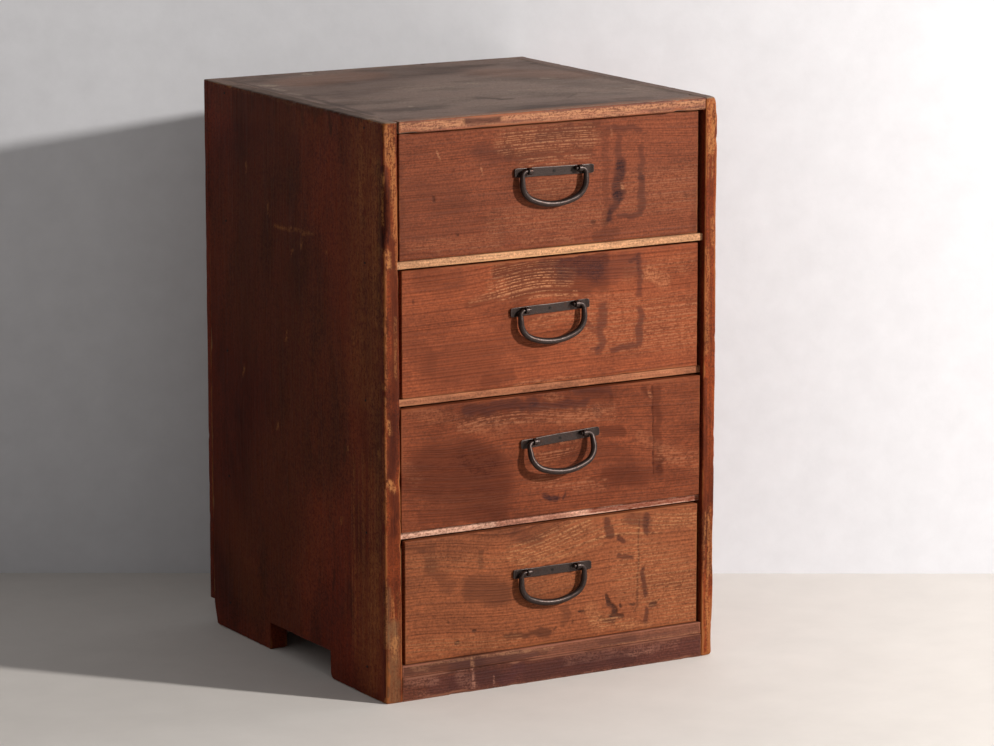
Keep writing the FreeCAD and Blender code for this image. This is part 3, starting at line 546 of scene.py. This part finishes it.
SIDE_WOOD = stained_softwood(
    "stained_cypress_side_planks", "682512 4C1B0C 2E0E05 5E2A10 84502A 9A6032", along=2, spacing=9., lines=.1,
    mottling=.55, fibres=.07, specks=.4, wear=(-.4, -2.4), uneven=6., relief=.15)
EDGE_WOOD = stained_softwood(
    "stained_cypress_plank_edges", "783415 56210D 3C1204 6E5238 8A502A B07444", along=2, spacing=3.4, lines=.35,
    mottling=.85, fibres=.26, specks=.42, wear=(.2, -1.4))
END_WOOD = stained_softwood(
    "weathered_cypress_plank_ends", "76625A 64524A 3A2A22 6A5448 7C6656 9A8472", along=1, lines=.3, mottling=.6,
    specks=.2, wear=(.2, -2.), uneven=8.)


def side_plank(hand):
    """A side board: a worn board whose foot line lifts its lower edge; each height above shrinks in step.

    The left one thickens inwards from its top to its foot, in proportion to the height left below the top.
    """
    node = "side_left" if hand < 0 else "side_right"
    low, high = corners(node)
    y_foot, z_foot = np.array(FOOT_LINE).T + [[FRONT], [0]]
    dense = np.concatenate([y_foot[1:-1], FRONT + np.array(FOOT_STATIONS)])
    outer, inner = (low[0], high[0]) if hand < 0 else (high[0], low[0])
    if hand < 0:
        dents = (((outer, FRONT, 508), (8, 8, 27), 7), ((outer, FRONT, 30), (6, 6, 28), 2.5),
                 ((outer, FRONT, CHEST_HEIGHT), (9, 9, 7), 3.), ((inner, FRONT, 290), (3, 4, 6), 2.),
                 ((inner, FRONT, 231), (3, 4, 7), 2.2), ((outer, FRONT, 390), (5, 5, 60), 1.4),
                 *(((outer, y, CHEST_HEIGHT), (5, reach, 7), depth) for y, reach, depth in SPLINTERS),
                 ((inner, 0, CHEST_HEIGHT), (6, 380, 6), -1.4))
    else:
        dents = (((outer, FRONT, 20), (9, 9, 26), 5), ((outer, FRONT, 597), (8, 9, 9), 4.5),
                 ((outer, FRONT, 120), (6, 6, 30), 2.2), ((outer, FRONT, 470), (5, 5, 50), 1.6))
    points, quads, arris = worn_board(low, high, (2.4, 3.1, 3.1), arris=1.5, chips=1.1, relief=.22,
                                      seed=30 + hand, dents=dents, extra=((), dense, ()))
    foot = np.interp(points[:, 1], y_foot, z_foot)
    points[:, 2] = foot + points[:, 2] * (1 - foot / high[2])
    if hand < 0:
        thicker = THICKER_TOP + THICKER_FOOT * (1 - points[:, 2] / CHEST_HEIGHT)
        points[:, 0] += (points[:, 0] - low[0]) / PLANK * thicker
    edge = ease(points[:, 1], FRONT + 8, FRONT + 4)
    # The right one's marks run upside down.
    face = points if hand < 0 else points * [1, 1, -1] + [0, 0, high[2]]
    fields = {kind: np.maximum(edge * marks(points, 0, 2, EDGE_MARKS[hand][kind], 300 + 9 * k),
                               (1 - edge) * marks(face, 1, 2, SIDE_MARKS[kind], 340 + 9 * k + hand, 2.))
              for k, kind in enumerate(KINDS)}
    rings = yearly_rings(points, 2, 1, 0, tilt=.5, wander=5, seed=50 + hand,
                         swells=((300, 0, 260, 90, 22), (90, 120, 200, 60, -12)))
    fields.update(arris=arris + 6 * fields["soil_and_shade"], ring=rings)
    made = piece(node + "_plank", [(points, quads, fields)], SIDE_WOOD, (node,),
                 others=((EDGE_WOOD, lambda x, y, z: y < FRONT + 1.3),
                         (END_WOOD, lambda x, y, z: z > CHEST_HEIGHT - 1)))


side_plank(-1)
side_plank(1)

# Marks on the top, in X and Y, and on its front edge, in X and Z.
TOP_MARKS = dict(
    soil_and_shade="""-60 -178 100 -176 14 .35; 150 -60 100 40 30 .3; -150 -120 -90 -110 16 .3; -20 -76 -8 -86 7 .9;
        -6 -96 4 -98 4.5 .95; 178 150 182 -150 5 .5; 95 -160 112 -178 1.8 .8; 60 -120 85 -95 1.8 .6;
        -120 60 20 160 60 .25; -172 20 -178 -130 5 .7; 80 95 60 85 12 .3; -60 -150 60 -160 25 .3;
        120 60 150 20 25 .25; -178 190 -178 60 3 .6""",
    ink="""-178 -188 -60 -187 9 .7; -60 -187 182 -188 11 .85; 60 -184 120 -182 9 .5; -120 130 -40 150 40 .3;
        100 100 160 40 40 .25""",
    scrape="""-168 130 -162 122 7 .9; -170 100 -168 80 4 .7; -85 192 -80 188 6 .8; -172 60 -170 40 3 .6;
        30 35 36 30 5 .6; 122 30 130 24 5 .6; -112 -92 -116 -100 2.5 .7; 150 -84 160 -100 3 .6;
        -178 -189 182 -188 3.5 .55; -140 -130 -110 -134 3 .35; 40 -40 90 -46 4 .3; -60 30 0 20 5 .25""",
    ridges="0 0 150 -60 90 .35; -120 -60 -40 -120 50 .3")
TOP_EDGE_MARKS = dict(
    soil_and_shade="-105 596 -66 594 5 .75; -60 590 20 589 3 .3; 120 590 180 589 3 .35",
    ink="-100 590 -80 589 3 .3",
    scrape="-178 596 -110 595 5 .7; -60 596 180 596 4 .6; -20 592 100 592 4 .35",
    ridges="-180 594 184 594 8 .4")

TOP_WOOD = stained_softwood(
    "faded_cypress_top_board", "7A655B 5E4C42 43322A 86583E 84695A A29280", along=0, spacing=5., lines=.6,
    mottling=.75, specks=.2, rough=(.5, .72), wear=(.4, -2.), uneven=8.)
TOP_EDGE_WOOD = stained_softwood(
    "rubbed_cypress_top_edge", "8C5844 5A3226 40241A 5E3A34 90583E B8835E", along=0, spacing=2.6, lines=.7,
    mottling=.5, fibres=.4, specks=.45, wear=(.2, -1.6))
TOP_LEFT, TOP_RIGHT = -184.2, 184.5  # the ends of the top between the side boards
TONGUE_LEFT, TONGUE_FRONT, TONGUE_TOP = -186, -180.9, 593.4
DRAWN_BACK = 3.2  # how far its left front corner has shrunk


def top_board():
    """The top: a worn board between the side boards; its left front corner has shrunk back from the plank,
    which shows its tongue in the open joint."""
    low, high = corners("top_board")
    dents = tuple(((end, 0, CHEST_HEIGHT), (6, 170, 6), -1.4) for end in (TOP_LEFT, TOP_RIGHT))
    points, quads, arris = worn_board((TOP_LEFT, low[1], low[2]), (TOP_RIGHT, high[1], high[2]),
                                      (2.6, 2.4, 2.2), arris=1.5, chips=1.2, relief=.3, seed=61, dents=dents)
    points[:, 0] += (DRAWN_BACK * ease(points[:, 0], TOP_LEFT + 12, TOP_LEFT)
                     * ease(points[:, 1], FRONT + 11, FRONT + 5))
    up = ease(points[:, 2], high[2] - 3, high[2] - .6)
    fields = {kind: np.maximum(up * marks(points, 0, 1, TOP_MARKS[kind], 400 + 7 * k),
                               (1 - up) * marks(points, 0, 2, TOP_EDGE_MARKS[kind], 430 + 7 * k))
              for k, kind in enumerate(KINDS)}
    fields.update(arris=arris, ring=yearly_rings(points, 0, 1, 2, tilt=.6, wander=5, seed=62,
                                                 swells=((40, 20, 150, 70, 14),)))
    shells = [(points, quads, fields)]
    points, quads, arris = worn_board((TONGUE_LEFT, TONGUE_FRONT, low[2] + .1),
                                      (TOP_LEFT + 1, high[1], TONGUE_TOP), (2, 6, 2), arris=.5, chips=.2,
                                      seed=63)
    shells.append((points, quads, dict(arris=arris + 6, soil_and_shade=.8, ring=yearly_rings(points, 0, 1, 2))))
    made = piece("top_plank", shells, TOP_WOOD, ("top_board",),
                 others=((TOP_EDGE_WOOD, lambda x, y, z: y < FRONT + 1.2),))


top_board()


def plain_board(node, along, across, depth, stain, step, seed, arris=.8, chips=.6, ends=None, rows=None,
                others=()):
    """A worn board in place of a CAD board, of its exact size unless its ends in X are given, with rows of
    marks on its front edge."""
    low, high = corners(node)
    if ends:
        low[0], high[0] = ends
    points, quads, edge = worn_board(low, high, step, arris=arris, chips=chips, seed=seed)
    fields = dict(arris=edge, ring=yearly_rings(points, along, across, depth, tilt=.5, seed=seed))
    front = ease(points[:, 1], low[1] + 5, low[1] + 2)
    for k, kind in enumerate(rows or ()):
        fields[kind] = marks(points, 0, 2, rows[kind], seed + 50 + 7 * k) * front
    made = piece(node + "_wood", [(points, quads, fields)], stain, (node,), others=others)


SHELF_WOOD = stained_softwood(
    "worn_cypress_shelf_edges", "BE8E69 8C5838 5E3220 6A4038 C5966D D6AB86", along=0, spacing=2.4, lines=.6,
    mottling=.5, fibres=.4, specks=.4, wear=(.2, -1.4))
LOWER_SHELF_WOOD = stained_softwood(
    "rubbed_cypress_lower_shelf", "CB9A84 96614A 763A26 6A4038 D2A48E E0BBA4", along=0, spacing=2.4, lines=.6,
    mottling=.6, fibres=.4, specks=.45, wear=(.2, -1.4))
MIDDLE_SHELF_WOOD = stained_softwood(
    "rubbed_cypress_middle_shelf", "9C6346 74422C 4C2819 5A3430 AC7250 C8906A", along=0, spacing=2.4, lines=.7,
    mottling=.6, fibres=.35, specks=.3, wear=(.2, -1.4))
RAIL_WOOD = stained_softwood(
    "rubbed_cypress_bottom_rail", "7A4A36 5E3426 3A1E18 4A2C28 865442 9A6C50", along=0, spacing=2.6, lines=.6,
    mottling=.5, fibres=.35, specks=.25, wear=(.3, -1.4))
BASE_WOOD = stained_softwood(
    "dark_cypress_plinth", "5C3224 422019 301812 42242A 7A4E3C 9A6A58", along=0, lines=.35, mottling=.6,
    fibres=.22, specks=.4, wear=(-.1, -1.6))
BOX_WOOD, CROSS_WOOD = (stained_softwood(
    f"plain_cedar_{part}", "A8805C 8A6242 6A4A32 6A4A3A B48E6A B8926E", along, spacing=3.4, lines=.6,
    mottling=.5, fibres=.22, wear=(1., -.6)) for part, along in (("drawer_boxes", 1), ("box_backs", 0)))
BACK_WOOD = stained_softwood(
    "aged_cedar_back_boards", "7C5840 63442F 46301F 4C3A2C 947052 9A7A5C", along=2, spacing=3.8, lines=.7,
    mottling=.7, fibres=.26, wear=(1.4, -.4))

# Marks on the front edges of the lower shelf, the bottom board and the plinth, in X and Z.
LOWER_SHELF_MARKS = dict(
    soil_and_shade="60 173 190 173 14 .9; -20 175 20 174 9 .3",
    scrape="-180 173 -70 173 9 .5")
RAIL_MARKS = dict(
    soil_and_shade="-180 31 -90 31 9 .6; -90 31 -10 30 6 .4; 60 31 100 30 4 .4",
    ink="-120 31 -20 29 6 .5; 0 30 180 30 5 .3",
    scrape="""-170 36 -10 35.5 1.8 .5; -60 35 0 34 2.4 .5; -97 35 -96 26 2 .7; 60 27 180 27 1 .5;
        -165 33 -150 30 3 .35""")
PLINTH_MARKS = dict(
    soil_and_shade="-120 12 -70 14 9 .35; 70 13 96 11 7 .45; -30 10 60 14 10 .35",
    ink="-140 12 180 12 12 .3; -60 6 -40 18 7 .3",
    scrape="""-172 20 -140 18 6 .4; -110 18 -100 6 9 .3; 20 20 150 18 8 .22; -97 24 -95 2 1.8 .9;
        -71 12 -71 4 1.2 .9; -160 6 -150 4 3 .3; 97 14 122 15 4 .3; -175 1 180 1 1.2 .4""")

for k, (height, stain, rows) in enumerate((("upper", SHELF_WOOD, None), ("middle", MIDDLE_SHELF_WOOD, None),
                                           ("lower", LOWER_SHELF_WOOD, LOWER_SHELF_MARKS))):
    plain_board(f"shelf_{height}", 0, 1, 2, stain, (2.4, 7, 1.6), 500 + 10 * k, arris=.9,
                chips=.5, ends=(-187, 187), rows=rows)
plain_board("bottom_board", 0, 2, 1, RAIL_WOOD, (2.4, 7, 1.6), 540, arris=1.2, chips=.8,
            ends=(-179.5, 184.5), rows=RAIL_MARKS)
plain_board("plinth", 0, 2, 1, BASE_WOOD, (1.8, 3, 1.6), 550, arris=1.4, chips=.9,
            rows=PLINTH_MARKS)
for k, side in enumerate(("left", "middle", "right")):
    plain_board(f"back_board_{side}", 2, 0, 1, BACK_WOOD, (4, 3, 5), 570 + 10 * k, arris=.9,
                others=((SIDE_WOOD, lambda x, y, z: np.abs(x) > 198.3),
                        (END_WOOD, lambda x, y, z: z > CHEST_HEIGHT - .8)))

for number in FRONTS:
    front_board(number)
    seed = 600 + 40 * number
    for k, side in enumerate(("left", "right")):
        plain_board(f"drawer_{number}_side_{side}", 1, 2, 0, BOX_WOOD, (2.5, 7, 5), seed + 10 * k,
                    arris=.7, chips=.4)
    plain_board(f"drawer_{number}_back", 0, 2, 1, CROSS_WOOD, (7, 2.5, 5), seed + 20, arris=.7,
                chips=.4)
    plain_board(f"drawer_{number}_bottom", 1, 0, 2, BOX_WOOD, (7, 7, 2.5), seed + 30, arris=.6,
                chips=.3)


# ---- the pulls ----

# Plate centre in X and Z, slant (degrees, right end up), shift of both eyes along the plate, further shift of
# the bail, its swing at rest (degrees) and the plane of the drawer's face.
Pull = namedtuple("Pull", "x z slant eyes bail swing face")
PULLS = {
    1: Pull(4, 536.1, -1, -1.5, -.5, 1, FRONT + 8),
    2: Pull(-1.2, 393.9, 1.4, 0, .3, 4, FRONT + 7),
    3: Pull(9.6, 256.6, 3.1, -2.5, .4, 16, FRONT + 4),
    4: Pull(.9, 117.05, -.3, -1, -.5, .5, FRONT + 4.6),
}
EYE_ASIDE, EYE_RISE, EYE_REACH = 30, 1.6, 5.4  # each eye's centre: from the plate's middle, and out of the face

IRON = forged_iron("hand_forged_black_iron", "392F2C 43291E 665D59")
NAIL_IRON = forged_iron("old_wrought_nail_iron", "171413 2A1B13 3A3431", rough=(.5, .7))


def turned(points, pull, along, up, out, swing=0.):
    """Points of a pull's own frame (along the plate, out of the drawer's plane, up) set in the chest."""
    s, c = math.sin(math.radians(swing)), math.cos(math.radians(swing))
    side, depth = points[..., 0] + along, points[..., 1] * c + points[..., 2] * s
    height = points[..., 2] * c - points[..., 1] * s + up
    s, c = math.sin(math.radians(-pull.slant)), math.cos(math.radians(-pull.slant))
    return np.stack([pull.x + side * c + height * s, pull.face + out + depth,
                     pull.z + height * c - side * s], -1)


def carried(path, normal, section, scales):
    """A closed section carried along a plane path.

    At each path point the section's first axis lies in the plane, square to the path, and its second along
    the plane's normal; each axis is scaled there. The ends close over a few shrinking rings to a point.
    """
    tangent = np.gradient(path, axis=0)
    tangent /= np.linalg.norm(tangent, axis=1, keepdims=True)
    side = np.cross(normal, tangent)
    rings = (path[:, None] + section[None, :, :1] * scales[:, None, :1] * side[:, None]
             + section[None, :, 1:] * scales[:, None, 1:] * np.asarray(normal, float))
    caps = []
    for end, way in ((0, -1), (-1, 1)):
        middle = path[end]
        step = (scales[end].min() * np.abs(section).max()) * .35
        caps.append([middle + (rings[end] - middle) * k + way * tangent[end] * step * (1 - k ** 2) ** .5
                     for k in (.92, .7, .35, .02)])
    rings = np.concatenate([caps[0][::-1], rings, caps[1]])
    around = rings.shape[1]
    index = np.arange(rings.shape[0] * around).reshape(-1, around)
    after = np.roll(index, -1, axis=1)
    quads = np.stack([index[:-1], after[:-1], after[1:], index[1:]], -1).reshape(-1, 4)
    ends = []
    for row, turn in ((index[0], -1), (index[-1], 1)):
        fan = np.stack([row[0::2], row[1::2], np.roll(row, -2)[0::2], np.full(around // 2, row[0])], -1)
        ends.append(fan[1:-1][:, ::turn])
    return rings.reshape(-1, 3), np.concatenate([quads] + ends)


def arc(x, z, radius, start, end, count):
    """Points along an arc in the X-Z plane, angles in degrees."""
    angle = np.radians(np.linspace(start, end, count))
    return np.stack([x + radius * np.cos(angle), np.zeros(count), z + radius * np.sin(angle)], -1)


def even(points, spacing):
    """The same line with its points a spacing apart, its joins softened."""
    run = np.concatenate([[0], np.cumsum(np.linalg.norm(np.diff(points, axis=0), axis=1))])
    keep = np.concatenate([[True], np.diff(run) > 1e-6])
    at = np.linspace(0, run[-1], int(run[-1] / spacing) + 1)
    return np.stack([np.interp(at, run[keep], points[keep, i]) for i in range(3)], -1)


def bail_line():
    """Centre line of the bail: pin, shoulder, straight arm, haunch, bottom arc, and the same back up."""
    half_width, shoulder, haunch, arm, drop, pin_end = 38, 5, 19, 7, 35, 25.7
    turn, inset, arm_end = half_width - shoulder, half_width - haunch, shoulder + arm
    room = drop - arm_end
    bottom = (inset ** 2 + room ** 2 - haunch ** 2) / (2 * (room - haunch))
    centre = bottom - drop
    meet = math.degrees(math.atan2(centre + arm_end, inset))
    left = np.concatenate([[[-pin_end, 0, 0], [-turn, 0, 0]], arc(-turn, -shoulder, shoulder, 90, 180, 12),
                           arc(-inset, -arm_end, haunch, 180, 180 + meet, 24)])
    middle = arc(0, centre, bottom, 180 + meet, 360 - meet, 40)
    right = (left * [-1, 1, 1])[::-1]
    return even(np.concatenate([left, middle[1:-1], right]), .9)


def bar_section(count, power):
    """A bar's section of unit half sizes: a circle for power 2, a square with round corners for more."""
    angle = np.linspace(0, 2 * math.pi, count, endpoint=False)
    c, s = np.cos(angle), np.sin(angle)
    return np.stack([np.sign(c) * np.abs(c) ** (2 / power), np.sign(s) * np.abs(s) ** (2 / power)], -1)


def bail(number):
    """A forged bail: thickest at the bottom, hammered slightly out of round, its thin ends turned inwards."""
    pull = PULLS[number]
    line = bail_line()
    share = np.linspace(0, 1, len(line))
    inward = np.minimum(share, 1 - share)
    radius = 1.97 + 1.2 * ease(inward, .04, .17) + .2 * ease(inward, .2, .42)
    blows = swell(line + 50 * number, 7, 700 + number)
    flat = swell(line + 50 * number, 11, 720 + number)
    scales = np.stack([radius * (1 + .025 * blows), radius * (1 - .025 * blows + .015 * flat)], -1)
    points, quads = carried(line, (0, -1, 0), bar_section(20, 2), scales)
    points = turned(points, pull, pull.eyes + pull.bail, EYE_RISE, -EYE_REACH, pull.swing)
    made = piece(f"drawer_{number}_bail_forged", [(points, quads, dict(arris=.4))], IRON,
                 (f"drawer_{number}_bail",), sharp=60)


def eye(number, hand):
    """An eye: a flat bar bent round the bail's pin, both its legs driven through and clinched behind."""
    pull = PULLS[number]
    radius, turn_at, half_breadth = 2.95, 6, 2.25
    angle = np.radians(np.linspace(20, 340, 40))
    ring = np.stack([radius * np.cos(angle), radius * np.sin(angle)], -1)
    leg = np.array([[21.1, 10.6], [21.1, 2.2], [20.7, 1.2], [19.8, .86], [4.5, .86]])  # clinched end first
    flat = np.concatenate([leg, ring, leg[::-1] * [1, -1]])
    line = even(np.stack([np.zeros(len(flat)), flat[:, 0], flat[:, 1]], -1), .5)
    for _ in range(3):
        line[1:-1] = (line[:-2] + 2 * line[1:-1] + line[2:]) / 4
    thick = np.where(np.abs(line[:, 1]) > turn_at, .72, .82)  # half thickness of the legs, and of the eye
    scales = np.stack([thick, np.full(len(line), half_breadth)], -1)
    points, quads = carried(line, (1, 0, 0), bar_section(24, 5), scales)
    points = turned(points, pull, pull.eyes + hand * EYE_ASIDE, EYE_RISE, -EYE_REACH)
    side = "left" if hand < 0 else "right"
    made = piece(f"drawer_{number}_eye_{side}_forged", [(points, quads, dict(arris=.4))], IRON,
                 (f"drawer_{number}_eye_{side}",), sharp=50)


def strap(number):
    """The pull's plate: a thin hammered strap, its plan corners rounded (each corner square drawn in to a
    quarter circle) and its ends sprung a little off the wood, with painted shade round the nail at its middle."""
    pull = PULLS[number]
    half_x, half_z, thickness, corner = 47.25, 4.7, 1.6, 2.4
    points, quads, edge = worn_board((-half_x, -thickness, -half_z), (half_x, 0, half_z), (1.2, .5, .9),
                                     arris=.35, chips=.05, seed=750 + number)
    inner = np.clip(points, [-half_x + corner, -9, -half_z + corner], [half_x - corner, 9, half_z - corner])
    out = points - inner
    both = (np.abs(out[:, 0]) > 1e-6) & (np.abs(out[:, 2]) > 1e-6)
    long = np.linalg.norm(out[:, [0, 2]], axis=1)
    shrink = np.where(both, np.abs(out[:, [0, 2]]).max(1) / np.maximum(long, 1e-9), 1)
    points = inner + out * np.stack([shrink, np.ones_like(shrink), shrink], -1)
    points[:, 2] += .25 * swell(points * [1, 0, 0], 17, 760 + number) * ease(half_x - np.abs(points[:, 0]), 0, 8)
    points[:, 1] -= 1.1 * ease(np.abs(points[:, 0]), 41.5, half_x + 1)
    # Painted shade: a dark spot round the nail, where a dip in the strap would be shaded.
    nail_shade = np.exp(-((points[:, 0] ** 2 + points[:, 2] ** 2) / 2.4) ** 2)
    points = turned(points, pull, 0, 0, 0)
    made = piece(f"drawer_{number}_strap", [(points, quads, dict(arris=edge, soil_and_shade=nail_shade))], IRON,
                 (f"drawer_{number}_pull_plate",))


for number in PULLS:
    strap(number)
    bail(number)
    eye(number, -1)
    eye(number, 1)

for node in ("nails_left", "nails_right", "nails_back", *(f"drawer_{n}_nails" for n in PULLS)):
    nails = frame["nodes"][node]
    nails.data.materials.clear()
    nails.data.materials.append(NAIL_IRON)


# ---- floor, wall, light and camera ----

def plane(name, points, material):
    """A stage surface of one face, in metres."""
    mesh = bpy.data.meshes.new(name)
    mesh.from_pydata(points, [], [(0, 1, 2, 3)])
    mesh.update()
    made = bpy.data.objects.new(name, mesh)
    link(made)
    made.data.materials.append(material)


def matt_paint(name, colour, rough, grain, relief, see_through=False):
    """Plain matt paint over plaster or screed: even, with a very faint unevenness."""
    material, add = new_material(name)
    place = add("TexCoord", out="Object")
    cloud = add("TexNoise", {"Vector": place, "Scale": grain, "Detail": 5., "Roughness": .6})
    tone = add("MapRange", (cloud, .3, .7, .97, 1.03))
    tint = add("HueSaturation", {"Color": hue(colour), "Value": tone})
    normal = add("Bump", {"Height": cloud, "Strength": relief, "Distance": .002})
    surface = add("BsdfPrincipled", {"Base Color": tint, "Roughness": rough, "Normal": normal,
                                     "Specular IOR Level": .25})
    if see_through:
        surface = add("MixShader", (add("NewGeometry", out="Backfacing"), surface, add("BsdfTransparent")))
    add("OutputMaterial", {"Surface": surface})
    return material


FLOOR_REACH, WALL_REACH, WALL_HEIGHT = 6, 2.2, 2.2
plane("floor", [(x * FLOOR_REACH, y * FLOOR_REACH, 0) for x, y in ((-1, -1), (1, -1), (1, 1), (-1, 1))],
      matt_paint("painted_screed_floor", "DEDAD6", .7, 14., .12))
WALL_AT, WALL_RUN = np.array([-.106, FRONT / 1000 + .6006, 0]), np.array([.862, -.507, 0])
left, right = WALL_AT + WALL_RUN * -WALL_REACH, WALL_AT + WALL_RUN * WALL_REACH
plane("wall", [tuple(end + [0, 0, height]) for end, height in ((left, 0), (right, 0), (right, WALL_HEIGHT),
                                                              (left, WALL_HEIGHT))],
      matt_paint("limewashed_plaster_wall", "E6E8EE", .8, 30., .16, see_through=True))

LAMP_AT = Vector((1.573, FRONT / 1000 - 2.0972, 1.43))
lamp = bpy.data.objects.new("key_light", bpy.data.lights.new("key_light", "AREA"))
lamp.data.shape = "DISK"
lamp.data.size = .15
lamp.data.energy = 102
lamp.data.color = hue("FFFAF4")[:3]
lamp.location = LAMP_AT
lamp.rotation_euler = (Vector((0, 0, .3)) - LAMP_AT).to_track_quat("-Z", "Y").to_euler()
link(lamp)

world = bpy.data.worlds.new("soft_room_light")
world.use_nodes = True
world.node_tree.nodes.clear()
add = partial(add_node, world.node_tree)
room = add("Background", {"Color": hue("F2EEEA"), "Strength": .25})
seen = add("Background", {"Color": hue("DAD7D4"), "Strength": 1.})
add("OutputWorld", {"Surface": add("MixShader", (add("LightPath", out="Is Camera Ray"), room, seen))})
bpy.context.scene.world = world
bpy.context.scene.view_settings.view_transform = "Standard"

camera = bpy.data.objects.new("camera", bpy.data.cameras.new("camera"))
yaw, pitch = math.radians(30.29), math.radians(11.15)
camera.location = (-2.2683, FRONT / 1000 - 3.7675, 1.1931)
camera.rotation_euler = Vector((math.sin(yaw) * math.cos(pitch), math.cos(yaw) * math.cos(pitch),
                                -math.sin(pitch))).to_track_quat("-Z", "Y").to_euler()
camera.data.sensor_width = 36
camera.data.lens = 157.36
camera.data.clip_start = .1
link(camera)
bpy.context.scene.camera = camera
